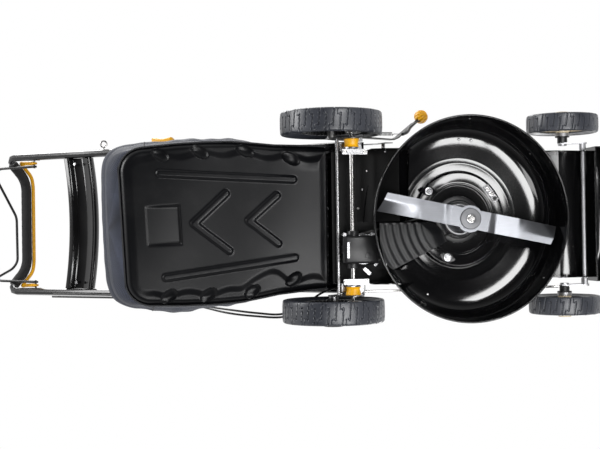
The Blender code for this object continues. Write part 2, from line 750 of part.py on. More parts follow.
def front_arm_outline(with_link):
    pivot = (FRONT_PIVOT_X, FRONT_PIVOT_Z)
    wheel = (FRONT_WHEEL_X, FRONT_RADIUS)
    outline = arc(wheel, 0.0125, 80, 270, 5)
    outline += arc(pivot, 0.011, 250, 365, 4)
    if with_link:
        tip = (FRONT_PIVOT_X + LINK_ARM_AHEAD, FRONT_PIVOT_Z + LINK_ARM_UP)
        outline += arc(tip, 0.009, -30, 150, 4)
    else:
        outline += arc(pivot, 0.011, 20, 70, 3)
    return outline


def make_front_carrier(carrier):
    """The front rod with an arm, a boss, a flange and a stub at each end."""
    inner = FRONT_ARM_Y - ARM_THICKNESS
    rod = cylinder("front_axle_carrier", (FRONT_PIVOT_X, -FRONT_ARM_Y + 0.001, FRONT_PIVOT_Z),
                   (FRONT_PIVOT_X, FRONT_ARM_Y - 0.001, FRONT_PIVOT_Z), FRONT_ROD_RADIUS, 10)
    face = FRONT_TRACK / 2 - FRONT_WIDTH / 2 * 0.95
    for side in (1, -1):
        low, high = sorted((side * inner, side * FRONT_ARM_Y))
        arm = plate("front_arm", [front_arm_outline(side == 1)], low, high)
        boss = cylinder("front_boss", (FRONT_WHEEL_X, side * (inner - 0.004), FRONT_RADIUS),
                        (FRONT_WHEEL_X, side * (face - 0.006), FRONT_RADIUS), 0.011, 14)
        flange = cylinder("front_flange", (FRONT_WHEEL_X, side * (face - 0.0085), FRONT_RADIUS),
                          (FRONT_WHEEL_X, side * (face - 0.0010), FRONT_RADIUS), 0.0185, 16)
        stub = cylinder("front_stub", (FRONT_WHEEL_X, side * (face - 0.006), FRONT_RADIUS),
                        (FRONT_WHEEL_X, side * (FRONT_TRACK / 2 + FRONT_WIDTH / 2 + 0.004), FRONT_RADIUS),
                        STUB_RADIUS, 12)
        collar = cylinder("rod_collar", (FRONT_PIVOT_X, side * (FRONT_BOX_HALF + 0.003), FRONT_PIVOT_Z),
                          (FRONT_PIVOT_X, side * (inner + 0.001), FRONT_PIVOT_Z), 0.0085, 10)
        join(rod, arm, boss, flange, stub, collar)
    tip = Vector((FRONT_PIVOT_X + LINK_ARM_AHEAD, 0, FRONT_PIVOT_Z + LINK_ARM_UP))
    join(rod, cylinder("link_pin_front", tip + Vector((0, FRONT_ARM_Y - 0.001, 0)),
                       tip + Vector((0, FRONT_ARM_Y + LINK_EYE_THICKNESS + 0.0008, 0)), LINK_PIN_RADIUS, 8))
    place(rod, "zinc", carrier)


def make_drive_shaft():
    """The drive shaft, from pinion to pinion through the gearbox."""
    end = abs(pinion_span(1)[1]) + 0.002
    shaft_body = body("drive_shaft_turn", (REAR_PIVOT_X, 0, REAR_PIVOT_Z))
    shaft = cylinder("drive_shaft", (REAR_PIVOT_X, -end, REAR_PIVOT_Z), (REAR_PIVOT_X, end, REAR_PIVOT_Z),
                     DRIVE_RADIUS, 14)
    place(shaft, "bright_steel", shaft_body)


def make_bushes_and_brackets():
    """Saddle brackets under the deck's wings, each holding a flanged bush for the shaft."""
    pivot = (REAR_PIVOT_X, REAR_PIVOT_Z)
    wing_z = wing_underside()
    bracket_inner = TUNNEL_HALF - 0.001
    bracket_outer = TUNNEL_HALF + 0.0055
    bolt_y = TUNNEL_HALF + 0.013
    for side, word in ((1, "left"), (-1, "right")):
        low, high = sorted((side * bracket_inner, side * bracket_outer))
        outline = [(REAR_PIVOT_X - 0.0185, wing_z - GAP)] + arc(pivot, 0.0185, 180, 360, 7)
        outline += [(REAR_PIVOT_X + 0.0185, wing_z - GAP)]
        saddle = plate("axle_bracket_" + word, [outline], low, high)
        f_low, f_high = sorted((side * (bracket_inner + 0.0005), side * (WING_END_Y - 0.0005)))
        foot = box("bracket_foot", (REAR_PIVOT_X - 0.022, f_low, wing_z - GAP - 0.003),
                   (REAR_PIVOT_X + 0.034, f_high, wing_z - GAP), 0.0)
        join(saddle, foot)
        for dx in (-0.014, 0.026):
            bolt = cylinder("bracket_bolt", (REAR_PIVOT_X + dx, side * bolt_y, wing_z - GAP - 0.0015),
                            (REAR_PIVOT_X + dx, side * bolt_y, wing_z - GAP - 0.0085), 0.0058, 6)
            join(saddle, bolt)
        cut(saddle, cylinder("bush_seat", (REAR_PIVOT_X, side * (bracket_inner - 0.016), REAR_PIVOT_Z),
                             (REAR_PIVOT_X, side * (bracket_outer + 0.0065), REAR_PIVOT_Z),
                             BUSH_SEAT_RADIUS + GAP, 16))
        place(saddle, "zinc")
        hub = BUSH_HUB_RADIUS
        shaft = DRIVE_RADIUS + RUNNING_GAP
        small = BUSH_SEAT_RADIUS
        arm_inner = REAR_ARM_Y - ARM_THICKNESS
        profile = [(shaft, bracket_inner - 0.003), (small, bracket_inner - 0.003),
                   (small, bracket_outer + GAP),
                   (BUSH_RADIUS, bracket_outer + GAP), (BUSH_RADIUS - 0.0025, bracket_outer + 0.006),
                   (BUSH_RADIUS, arm_inner - 0.002), (BUSH_RADIUS, arm_inner - GAP), (hub, arm_inner - GAP),
                   (hub, REAR_ARM_Y + 0.001), (shaft, REAR_ARM_Y + 0.001)]
        bush = revolve("axle_bush_" + word, profile, (REAR_PIVOT_X, 0, REAR_PIVOT_Z), (0, side, 0), 16,
                       spin=math.pi / 16)
        place(bush, "yellow_plastic")


def make_quadrant():
    """The notched quadrant that holds the height lever, on the right of the tunnel."""
    pivot = (REAR_PIVOT_X, REAR_PIVOT_Z)
    outer = QUADRANT_RADIUS
    inner = QUADRANT_RADIUS - 0.022
    outline = arc(pivot, outer, 16, 81, 17)
    notched = []
    for i, (x, z) in enumerate(outline):
        depth = 0.004 if 3 <= i <= 15 and i % 2 == 0 else 0.0
        angle = math.atan2(z - pivot[1], x - pivot[0])
        notched.append((x - depth * math.cos(angle), z - depth * math.sin(angle)))
    notched += arc(pivot, inner, 81, 16, 9)
    y_out = -(REAR_ARM_Y - ARM_THICKNESS - 0.006)
    quadrant = plate("height_quadrant", [notched], y_out, y_out + 0.002)
    for angle in (28, 70):
        spot = Vector((pivot[0] + (inner + 0.008) * math.cos(math.radians(angle)), 0,
                       pivot[1] + (inner + 0.008) * math.sin(math.radians(angle))))
        peg = cylinder("quadrant_peg", spot + Vector((0, y_out + 0.001, 0)),
                       spot + Vector((0, -TUNNEL_HALF - GAP, 0)), 0.005, 8)
        join(quadrant, peg)
    place(quadrant, "zinc")


# Deck

def wing_underside():
    return TUNNEL_FLOOR_Z - 0.008 - SHEET


def chamber_profile():
    """The deck's sheet from its rim to the engine's hole, as (radius, height) on its inner face."""
    r = DECK_HALF_WIDTH
    return [(r, RIM_Z), (r - 0.003, RIM_Z + 0.009), (r - 0.011, 0.104), (r - 0.018, 0.120),
            (r - 0.034, 0.131), (0.152, 0.146), (0.146, ROOF_Z), (0.114, ROOF_Z), (0.108, 0.144),
            (0.092, 0.144), (0.086, ROOF_Z - 0.002), (ENGINE_HOLE_RADIUS, ROOF_Z - 0.002)]


def tunnel_top():
    """The tunnel's top from the chamber's roof to the flap's hinge, as (x, z) points."""
    return [(-0.122, 0.1505), (-0.155, 0.164), (-0.205, 0.214), (-0.255, 0.272), (-0.290, 0.299),
            (TUNNEL_END_X, TUNNEL_TOP_Z)]


def tunnel_ramp():
    """The tunnel's floor on the right, from inside the chamber up over the drive shaft."""
    return [(-0.170, 0.074), (-0.212, 0.106), (-0.236, 0.144), (-0.258, TUNNEL_FLOOR_Z - 0.002),
            (TUNNEL_END_X, TUNNEL_FLOOR_Z)]


def ramp_underside():
    """The line that the deck is cut to under the baffle, a clearance below its sheet, rear end first."""
    drop = BAFFLE_SHEET + 2 * GAP
    points = tunnel_ramp()
    line = []
    for i, (x, z) in enumerate(points):
        before = Vector(points[max(i - 1, 0)])
        after = Vector(points[min(i + 1, len(points) - 1)])
        run = (after - before).normalized()
        line.append((x + run.y * -drop, z + run.x * drop))
    line[-1] = (TUNNEL_END_X - 0.01, line[-1][1])
    return line[::-1]


def make_chamber():
    """The oval chamber: the profile turned, squeezed a little along X, and given its sheet."""
    mesh = bpy.data.meshes.new("chamber")
    profile = chamber_profile()
    mesh.from_pydata([(r, 0.0, z) for r, z in reversed(profile)],
                     [(i, i + 1) for i in range(len(profile) - 1)], [])
    chamber = add_object("chamber", mesh)
    mod = chamber.modifiers.new("turned", "SCREW")
    mod.steps = 32
    mod.render_steps = 32
    mod.use_merge_vertices = True
    mod.merge_threshold = 1e-5
    chamber = bake(chamber)
    chamber.data.transform(Matrix.Translation((0, BLADE_Y, 0))
                           @ Matrix.Diagonal((DECK_HALF_LENGTH / DECK_HALF_WIDTH, 1, 1, 1)))
    wall = chamber.modifiers.new("sheet", "SOLIDIFY")
    wall.thickness = SHEET
    wall.offset = 1.0
    return bake(chamber, outward=True)


def tunnel_side_outline():
    """The tunnel's side wall, with the wing's root and the handle's bracket at its rear end."""
    outline = [(-0.124, 0.1485)] + [(x, z + 0.001) for x, z in tunnel_top()[1:]]
    outline += [(TUNNEL_END_X, wing_underside()), (-0.236, wing_underside()), (-0.236, 0.085),
                (-0.200, 0.070), (-0.170, 0.070), (-0.124, 0.120)]
    return outline


def handle_plate_outline():
    """The bracket that carries a lower handle tube, as (x, z) points on the tunnel's side."""
    foot = Vector((LOWER_END_X, LOWER_END_Z))
    up = Vector((FOLD_X - LOWER_END_X, FOLD_Z - LOWER_END_Z)).normalized()
    side = Vector((-up.y, up.x))
    tip = foot + up * 0.085
    return [tuple(foot - up * 0.012 + side * 0.013), tuple(foot - up * 0.012 - side * 0.013),
            tuple(tip - side * 0.013), tuple(tip + side * 0.013)]


def make_deck():
    """The pressed deck: chamber, tunnel, wings for the axle brackets, and the front box."""
    deck = make_chamber()
    deck.name = "deck_shell"
    over = [(x, z + SHEET) for x, z in tunnel_top()]
    join(deck, bent_sheet("tunnel_top", over, -TUNNEL_HALF, TUNNEL_HALF))
    for side in (1, -1):
        low, high = sorted((side * (TUNNEL_HALF - SHEET), side * TUNNEL_HALF))
        join(deck, plate("tunnel_side", [tunnel_side_outline()], low, high))
        low, high = sorted((side * (TUNNEL_HALF - 0.001), side * WING_END_Y))
        join(deck, box("wing", (-0.3035, low, wing_underside()), (-0.240, high, wing_underside() + SHEET)))
        low, high = sorted((side * (TUNNEL_HALF - 0.001), side * (LOWER_Y - TUBE_RADIUS - GAP)))
        join(deck, plate("handle_plate", [handle_plate_outline()], low, high))
    front = [(0.190, 0.128), (0.262, 0.127), (0.292, 0.120), (0.314, 0.104), (FRONT_BOX_END, 0.080),
             (FRONT_BOX_END, 0.052)]
    join(deck, bent_sheet("front_top", front, -FRONT_BOX_HALF + 0.0003, FRONT_BOX_HALF - 0.0003))
    wall = [(0.186, 0.129), (0.262, 0.128), (0.2925, 0.121), (0.3147, 0.105),
            (FRONT_BOX_END + 0.001, 0.0803), (FRONT_BOX_END + 0.001, 0.0515), (0.300, 0.050),
            (0.262, 0.046), (0.225, 0.040), (0.186, 0.050)]
    for side in (1, -1):
        low, high = sorted((side * (FRONT_BOX_HALF - SHEET), side * FRONT_BOX_HALF))
        join(deck, plate("front_side", [wall], low, high))
    inside = [(-0.126, 0.060), (-0.130, 0.1478)] + [(x, z - 0.0003) for x, z in tunnel_top()[1:-1]]
    inside += [(TUNNEL_END_X - 0.01, TUNNEL_TOP_Z - 0.0003)] + ramp_underside() + [(-0.165, 0.060)]
    cut(deck, plate("inlet_cut", [inside], -(TUNNEL_HALF - SHEET - 0.0002), RAMP_EDGE_Y + GAP))
    cut(deck, box("belt_slot", (-0.250, RAMP_EDGE_Y + 0.0015, 0.0835), (-0.136, 0.150, 0.1545)))
    cut(deck, cylinder("rod_hole", (FRONT_PIVOT_X, -0.2, FRONT_PIVOT_Z), (FRONT_PIVOT_X, 0.2, FRONT_PIVOT_Z),
                       FRONT_ROD_RADIUS + RUNNING_GAP, 20))
    place(deck, "deck_paint", smooth=40)


def make_front_bumper():
    """A hollow moulded bumper across the front box, open underneath."""
    y = FRONT_BOX_HALF + 0.011
    start = FRONT_BOX_END + SHEET + GAP
    end = FRONT_BOX_END + BUMPER_DEPTH

    def section(x_back, x_front, z_low, z_high, inset):
        corner = 0.016
        points = [(x_back, z_low), (x_back, z_high)]
        points += arc((x_front - corner - inset, z_high - corner), corner, 90, 0, 4)
        points += [(x_front - inset, z_low)]
        return points

    outer = []
    for yy, inset, drop in ((-y, 0.020, 0.010), (-y + 0.018, 0.004, 0.002), (-0.09, 0.0, 0.0),
                            (0.09, 0.0, 0.0), (y - 0.018, 0.004, 0.002), (y, 0.020, 0.010)):
        outer.append([(px, yy, pz) for px, pz in section(start, end, 0.052, 0.118 - drop, inset)])
    bumper = loft("front_bumper", outer)
    wall = 0.003
    inner = []
    for yy, inset, drop in ((-y + wall, 0.020, 0.010), (-0.09, 0.0, 0.0), (0.09, 0.0, 0.0),
                            (y - wall, 0.020, 0.010)):
        inner.append([(px, yy, pz) for px, pz in
                      section(start + wall, end - wall, 0.040, 0.118 - drop - wall, inset)])
    cut(bumper, loft("bumper_hollow", inner))
    place(bumper, "gloss_plastic")


def make_baffle():
    """The tunnel's floor: a ramp on the right, a shelf over the belt on the left, a web between."""
    edge = TUNNEL_HALF - SHEET - 2 * GAP
    shelf_z = tunnel_ramp()[-2][1]
    ramp = bent_sheet("rear_baffle", tunnel_ramp(), -edge, RAMP_EDGE_Y, BAFFLE_SHEET)
    shelf_line = [(-0.156, shelf_z - 0.004), (-0.190, shelf_z), (-0.258, shelf_z),
                  (TUNNEL_END_X, TUNNEL_FLOOR_Z)]
    shelf = bent_sheet("shelf", shelf_line, RAMP_EDGE_Y - BAFFLE_SHEET, edge, BAFFLE_SHEET)
    web_edge = [(x, z - 0.001) for x, z in tunnel_ramp()[:-1]]
    web_edge += [(-0.190, shelf_z - 0.001), (-0.158, shelf_z - 0.005)]
    web = plate("web", [web_edge], RAMP_EDGE_Y - BAFFLE_SHEET, RAMP_EDGE_Y)
    join(ramp, shelf, web)
    place(ramp, "black_plastic")


def make_belt_guard():
    """A ribbed wedge under the drive belt, from the crank pulley to the chamber's rear wall."""
    outline = [(-0.080, 0.0155), (-0.212, 0.0145), (-0.212, 0.060), (-0.200, 0.115), (-0.178, 0.134),
               (-0.034, 0.066), (-0.046, 0.038)]
    low_z = BELT_Z - BELT_SECTION - 0.010
    guard = plate("belt_guard", [outline], low_z - 0.003, low_z, plane="XY")
    for i in range(6):
        x = -0.076 - 0.020 * i
        y_low = 0.018 if x < -0.080 else 0.028
        y_high = 0.066 + (0.134 - 0.066) * (-0.034 - x) / 0.144 - 0.005
        rib = box("guard_rib", (x - 0.0022, y_low, low_z - 0.007), (x + 0.0022, y_high, low_z - 0.002))
        join(guard, rib)
    for x, y in ((-0.125, 0.045), (-0.112, 0.090)):
        post = cylinder("guard_post", (x, y, low_z - 0.001), (x, y, chamber_roof_at(x, y) - GAP), 0.005, 8)
        join(guard, post)
    place(guard, "black_plastic")


def chamber_roof_at(x, y):
    """The lowest height of the chamber's inner face over a small post."""
    heights = []
    for px, py in circle((x, y), 0.006, 8):
        radius = math.hypot(px * DECK_HALF_WIDTH / DECK_HALF_LENGTH, py - BLADE_Y)
        for (r0, z0), (r1, z1) in zip(chamber_profile(), chamber_profile()[1:]):
            if r1 <= radius <= r0:
                heights.append(z0 + (z1 - z0) * (r0 - radius) / (r0 - r1))
    return min(heights)


# Blade, crank and belt

def make_blade(crank):
    """A flat bar whose trailing edges rise into lift wings towards both tips."""
    half = BLADE_LENGTH / 2
    stations = [-1.0, -0.86, -0.70, -0.55, -0.40, 0.40, 0.55, 0.70, 0.86, 1.0]
    rings = []
    for s in stations:
        x = s * half
        lift = 0.020 * max(0.0, (abs(s) - 0.40) / 0.60) ** 1.3
        trail = -1 if s > 0 else 1
        ring = []
        for v in (-1.0, -0.5, 0.0, 0.5, 1.0):
            y = v * BLADE_WIDTH / 2
            rise = lift * max(0.0, v * trail) ** 1.4 if s else 0.0
            thin = 0.25 if (v * trail == -1.0 and abs(s) > 0.45) else 1.0
            slant = 0.010 * (1 - v * trail) / 2 if abs(s) == 1.0 else 0.0
            ring.append((x - math.copysign(slant, x) if s else x, y, rise, thin))
        lower = [(px, py, pz) for px, py, pz, thin in ring]
        upper = [(px, py, pz + BLADE_THICKNESS * thin) for px, py, pz, thin in reversed(ring)]
        rings.append(lower + upper)
    blade = loft("blade", rings)
    blade.data.transform(Matrix.Translation((0, BLADE_Y, BLADE_Z)) @ Matrix.Rotation(BLADE_YAW, 4, "Z"))
    cut(blade, cylinder("blade_hole", (0, BLADE_Y, BLADE_Z - 0.01), (0, BLADE_Y, BLADE_Z + 0.01),
                        0.005 + GAP, 16))
    place(blade, "blade_steel", crank)


def belt_track(radius_offset):
    """The belt's closed line round the two pulleys, as (x, y) points with straight runs."""
    a = Vector((0, BLADE_Y))
    b = Vector((GEARBOX_X, GEARBOX_Y))
    ra = CRANK_PULLEY_RADIUS + radius_offset
    rb = GEARBOX_PULLEY_RADIUS + radius_offset
    line = b - a
    heading = math.degrees(math.atan2(line.y, line.x))
    swing = math.degrees(math.acos((ra - rb) / line.length))
    points = arc((a.x, a.y), ra, heading + swing, heading + 360 - swing, 12)
    points += arc((b.x, b.y), rb, heading - swing, heading + swing, 14)
    return points


def make_belt():
    half = BELT_SECTION / 2
    belt = plate("drive_belt", [belt_track(half + GAP), belt_track(2 * GAP)], BELT_Z - half, BELT_Z + half,
                 plane="XY")
    place(belt, "belt_rubber")


def pulley_profile(radius, shaft, z_low, z_high):
    """A grooved pulley whose belt stands on the groove's floor, as (radius, height) points."""
    half = BELT_SECTION / 2
    rim = radius + BELT_SECTION / 2 + 0.0015
    return [(shaft, z_high), (rim - 0.004, z_high), (rim, BELT_Z + half + 0.0018),
            (rim, BELT_Z + half + GAP),
            (radius, BELT_Z + half + GAP), (radius, BELT_Z - half - GAP), (rim, BELT_Z - half - GAP),
            (rim, BELT_Z - half - 0.0018), (rim - 0.004, z_low), (shaft, z_low)]


def make_crank(crank):
    """Crankshaft with the flywheel, the adapter with the pulley, and the blade's bolt."""
    shaft_low = BLADE_Z + BLADE_THICKNESS + 0.020
    profile = [(0.0, FLYWHEEL_Z + 0.034), (0.010, FLYWHEEL_Z + 0.034), (0.010, FLYWHEEL_Z + 0.022),
               (0.040, FLYWHEEL_Z + 0.022), (0.046, FLYWHEEL_Z + 0.010),
               (FLYWHEEL_RADIUS - 0.016, FLYWHEEL_Z + 0.008),
               (FLYWHEEL_RADIUS - 0.014, FLYWHEEL_Z + 0.024), (FLYWHEEL_RADIUS, FLYWHEEL_Z + 0.024),
               (FLYWHEEL_RADIUS, FLYWHEEL_Z), (0.030, FLYWHEEL_Z), (SHAFT_RADIUS, FLYWHEEL_Z - 0.006),
               (SHAFT_RADIUS, shaft_low), (0.0, shaft_low)]
    shaft = revolve("crankshaft", profile, (0, BLADE_Y, 0), steps=SHAFT_SIDES, closed=False)
    place(make_outward(shaft), "cast_aluminium", crank)
    bottom = BLADE_Z + BLADE_THICKNESS + GAP
    bore = SHAFT_RADIUS + GAP
    p = pulley_profile(CRANK_PULLEY_RADIUS, bore, BELT_Z - 0.0085, BELT_Z + 0.0075)
    profile = p[:-2] + [(0.026, BELT_Z - 0.010), (0.024, bottom + 0.022), (0.034, bottom + 0.014),
                        (0.034, bottom), (0.0055, bottom), (0.0055, shaft_low - GAP),
                        (bore, shaft_low - GAP)]
    adapter = revolve("blade_adapter", profile, (0, BLADE_Y, 0), steps=SHAFT_SIDES)
    place(adapter, "blade_steel", crank)
    profile = [(0.0, shaft_low - 0.001), (0.005, shaft_low - 0.001), (0.005, BLADE_Z - GAP),
               (0.0262, BLADE_Z - GAP), (0.0262, BLADE_Z - 0.0035), (0.012, BLADE_Z - 0.0055),
               (0.0, BLADE_Z - 0.0055)]
    bolt = make_outward(revolve("blade_bolt", profile, (0, BLADE_Y, 0), steps=16, closed=False))
    join(bolt, cylinder("bolt_head", (0, BLADE_Y, BLADE_Z - 0.005), (0, BLADE_Y, BLADE_Z - 0.0135),
                        0.0098, 6))
    place(bolt, "bright_steel", crank)


def make_outward(obj):
    """Points every face of a closed mesh outwards."""
    bm = bmesh.new()
    bm.from_mesh(obj.data)
    bmesh.ops.remove_doubles(bm, verts=bm.verts, dist=1e-6)
    bmesh.ops.recalc_face_normals(bm, faces=bm.faces)
    bm.to_mesh(obj.data)
    bm.free()
    return obj


def make_gearbox():
    """The worm gearbox on the drive shaft, hung from the tunnel's shelf, and its input pulley."""
    z_top = BELT_Z - 0.0085 - 0.0012
    x, y = GEARBOX_X, GEARBOX_Y
    case = box("gearbox_housing", (REAR_PIVOT_X - 0.024, y - 0.034, 0.088),
               (x + 0.030, y + 0.034, z_top - 0.001), 0.006, 2)
    barrel = cylinder("gearbox_barrel", (REAR_PIVOT_X, y - 0.046, REAR_PIVOT_Z),
                      (REAR_PIVOT_X, y + 0.046, REAR_PIVOT_Z), 0.0145, 16)
    join(case, barrel)
    hanger = box("gearbox_hanger", (REAR_PIVOT_X - 0.020, y - 0.010, 0.118),
                 (REAR_PIVOT_X - 0.0145, y + 0.010, tunnel_ramp()[-2][1] - BAFFLE_SHEET - GAP))
    join(case, hanger)
    cut(case, cylinder("shaft_bore", (REAR_PIVOT_X, y - 0.06, REAR_PIVOT_Z),
                       (REAR_PIVOT_X, y + 0.06, REAR_PIVOT_Z), DRIVE_RADIUS + RUNNING_GAP, 14))
    cut(case, cylinder("input_bore", (x, y, 0.100), (x, y, z_top + 0.01), 0.006 + RUNNING_GAP, 10))
    place(case, "black_plastic")
    pulley_body = body("gearbox_input", (x, y, BELT_Z))
    profile = pulley_profile(GEARBOX_PULLEY_RADIUS, 0.0, BELT_Z - 0.0085, BELT_Z + 0.0075)
    profile = profile[:-1] + [(0.006, BELT_Z - 0.0085), (0.006, 0.104), (0.0, 0.104)]
    pulley = make_outward(revolve("gearbox_pulley", profile, (x, y, 0), steps=16, closed=False))
    place(pulley, "zinc", pulley_body)


# Engine

def make_engine():
    """Crankcase on the deck, with the cylinder and its fins pointing forward."""
    y = BLADE_Y
    base = ROOF_Z + SHEET + GAP
    bore = SHAFT_RADIUS + RUNNING_GAP
    profile = [(bore, base), (ENGINE_BASE_RADIUS + 0.026, base), (ENGINE_BASE_RADIUS + 0.026, base + 0.010),
               (CRANKCASE_RADIUS + 0.002, base + 0.014), (CRANKCASE_RADIUS, CRANKCASE_TOP_Z - 0.008),
               (CRANKCASE_RADIUS - 0.010, CRANKCASE_TOP_Z), (bore, CRANKCASE_TOP_Z)]
    block = revolve("engine_block", profile, (0, y, 0), steps=20)
    z = CYLINDER_Z
    end = CYLINDER_END_X
    join(block, box("cylinder_block", (0.040, y - 0.032, z - 0.031), (end - 0.032, y + 0.032, z + 0.031)))
    for i in range(5):
        x = end - 0.114 + 0.0160 * i
        join(block, box("fin", (x, y - 0.046, z - 0.041), (x + 0.0035, y + 0.046, z + 0.0345)))
    join(block, box("head", (end - 0.034, y - 0.044, z - 0.037), (end - 0.014, y + 0.044, z + 0.0345),
                    0.004, 1))
    join(block, box("rocker_cover", (end - 0.016, y - 0.030, z - 0.027), (end, y + 0.030, z + 0.027),
                    0.005, 1))
    filler = cylinder("oil_neck", (0.022, y - 0.070, 0.162), (0.030, y - 0.098, 0.212), 0.0125, 12)
    join(block, filler)
    intake = cylinder("intake", (end - 0.082, y + 0.030, z + 0.003), (end - 0.082, y + 0.068, z + 0.003),
                      0.013, 10)
    join(block, intake)
    for angle in (45, 180, 315):
        lug = box("cover_lug", (CRANKCASE_RADIUS - 0.006, -0.006, CRANKCASE_TOP_Z - 0.010),
                  (COVER_RADIUS - 0.001, 0.006, COVER_LOW_Z - GAP))
        lug.data.transform(Matrix.Translation((0, y, 0)) @ Matrix.Rotation(math.radians(angle), 4, "Z"))
        join(block, lug)
    exhaust = cylinder("exhaust", (end - 0.082, y - 0.030, z - 0.002), (end - 0.082, y - 0.062, z - 0.002),
                       0.011, 10)
    join(block, exhaust)
    place(block, "cast_aluminium")
    return Vector((0.022, y - 0.070, 0.162)), Vector((0.030, y - 0.098, 0.212))


def make_oil_cap(low, high):
    along = (high - low).normalized()
    turn = body("oil_cap_turn", high)
    start = high + along * GAP
    cap = cylinder("oil_cap", start, start + along * 0.010, 0.0155, 14)
    join(cap, box_along("oil_grip", start + along * 0.009, along, (0.022, 0.005, 0.010)))
    place(cap, "black_plastic", turn)


def box_along(name, start, along, size):
    """A box that stands on a point and points along a direction."""
    bm = bmesh.new()
    bmesh.ops.create_cube(bm, size=1.0)
    bmesh.ops.scale(bm, vec=size, verts=bm.verts)
    bmesh.ops.translate(bm, vec=(0, 0, size[2] / 2), verts=bm.verts)
    obj = mesh_object(name, bm)
    obj.data.transform(Matrix.Translation(start) @ turn_to(along))
    return obj


def make_engine_cover():
    """The blower housing over the flywheel and the cylinder, open underneath."""
    y = BLADE_Y
    low = COVER_LOW_Z
    r = COVER_RADIUS
    profile = [(0.0, COVER_TOP_Z), (r - 0.022, COVER_TOP_Z), (r - 0.007, COVER_TOP_Z - 0.006),
               (r, COVER_TOP_Z - 0.020), (r, low), (0.0, low)]
    outer = make_outward(revolve("engine_cover", profile, (0, y, 0), steps=24, closed=False))
    nose = box("cover_nose", (0.040, y - NOSE_HALF, low - 0.012),
               (NOSE_END_X, y + NOSE_HALF, COVER_TOP_Z - 0.014),
               0.012, 2)
    join(outer, cut(nose, box("nose_trim", (0.0, y - 0.08, low - 0.03),
                                (NOSE_END_X + 0.024, y + 0.08, low + 0.0015))))
    wall = 0.0025
    inside = [(0.0, COVER_TOP_Z - wall), (r - 0.024, COVER_TOP_Z - wall), (r - 0.009, COVER_TOP_Z - 0.008),
              (r - wall, COVER_TOP_Z - 0.021), (r - wall, low - 0.01), (0.0, low - 0.01)]
    cut(outer, make_outward(revolve("cover_hollow", inside, (0, y, 0), steps=24, closed=False)))
    cut(outer, box("nose_hollow", (0.030, y - NOSE_HALF + wall, low - 0.02),
                   (NOSE_END_X - wall, y + NOSE_HALF - wall, COVER_TOP_Z - 0.014 - wall), 0.010, 2))
    cut(outer, cylinder("air_hole", (0, y, COVER_TOP_Z - 0.01), (0, y, COVER_TOP_Z + 0.01), 0.060, 20))
    place(outer, "gloss_plastic")


def make_recoil():
    """The recoil starter's housing with its air slots and the eye that the rope leaves by."""
    y = BLADE_Y
    r = RECOIL_RADIUS
    low = COVER_TOP_Z + GAP
    wall = 0.0025
    profile = [(0.0, RECOIL_TOP_Z), (0.022, RECOIL_TOP_Z), (0.030, RECOIL_TOP_Z - 0.004),
               (0.056, RECOIL_TOP_Z - 0.006), (r - 0.004, RECOIL_TOP_Z - 0.014), (r, low), (r - wall, low),
               (r - 0.004 - wall, RECOIL_TOP_Z - 0.016),
               (0.055, RECOIL_TOP_Z - 0.006 - wall), (0.029, RECOIL_TOP_Z - 0.004 - wall),
               (0.021, RECOIL_TOP_Z - wall), (0.0, RECOIL_TOP_Z - wall)]
    housing = make_outward(revolve("recoil_housing", profile, (0, y, 0), steps=20, closed=False))
    for i in range(6):
        angle = math.radians(60 * i + 18)
        slot = box("air_slot", (0.034, -0.0035, RECOIL_TOP_Z - 0.02), (0.051, 0.0035, RECOIL_TOP_Z + 0.005))
        slot.data.transform(Matrix.Translation((0, y, 0)) @ Matrix.Rotation(angle, 4, "Z"))
        cut(housing, slot)
    eye = cylinder("rope_eye", rope_point(0.056), rope_point(0.080), 0.009, 10)
    join(housing, eye)
    cut(housing, cylinder("rope_bore", rope_point(0.045), rope_point(0.090), 0.0024 + GAP, 8))
    place(housing, "black_plastic")


def rope_direction():
    """The way the starter rope is pulled: back and up, towards the handle."""
    return Vector((-0.78, 0.0, 0.46)).normalized()


def rope_point(distance):
    """A point of the rope's line, at a distance from where the rope leaves its drum."""
    return Vector((0.012, BLADE_Y - 0.030, COVER_TOP_Z - 0.0035)) + rope_direction() * distance


def make_starter_grip():
    """The T-shaped grip, parked on the housing's eye, with the rope's end fixed in it."""
    along = rope_direction()
    start = rope_point(0.080) + along * GAP
    turn = body("starter_pull", start)
    stem = cylinder("starter_grip", start, start + along * 0.022, 0.0095, 12, 0.013)
    bar = tube("grip_bar", [start + along * 0.028 + Vector((0, s * 0.052, 0)) for s in (-1, 1)],
               0.0115, 2)
    rope = cylinder("rope_end", start - along * 0.030, start + along * 0.004, 0.0024, 6)
    join(stem, bar, rope)
    place(stem, "black_plastic", turn)


def make_tank_and_filter():
    """The fuel tank on the left with its cap, and the air filter in front of it."""
    y = BLADE_Y
    side = y + COVER_RADIUS + GAP
    tank = box("fuel_tank", (-0.100, side, 0.230), (0.058, side + 0.058, 0.300), 0.014, 2)
    neck_top = Vector((-0.040, side + 0.030, 0.308))
    join(tank, cylinder("tank_neck", neck_top - Vector((0, 0, 0.012)), neck_top, 0.018, 14))
    place(tank, "black_plastic")
    turn = body("fuel_cap_turn", neck_top)
    cap = cylinder("fuel_cap", neck_top + Vector((0, 0, GAP)), neck_top + Vector((0, 0, 0.014)), 0.0235, 18)
    deep = Vector((0, 0, 0.02))
    for i in range(6):
        spot = neck_top + Matrix.Rotation(math.radians(60 * i), 3, "Z") @ Vector((0.0255, 0, 0))
        cut(cap, cylinder("cap_notch", spot - deep, spot + deep, 0.005, 6))
    place(cap, "black_plastic", turn)
    filter_box = box("air_filter", (0.078, y + 0.068 + GAP, 0.176), (0.152, y + 0.108, 0.2425), 0.008, 1)
    place(filter_box, "black_plastic")


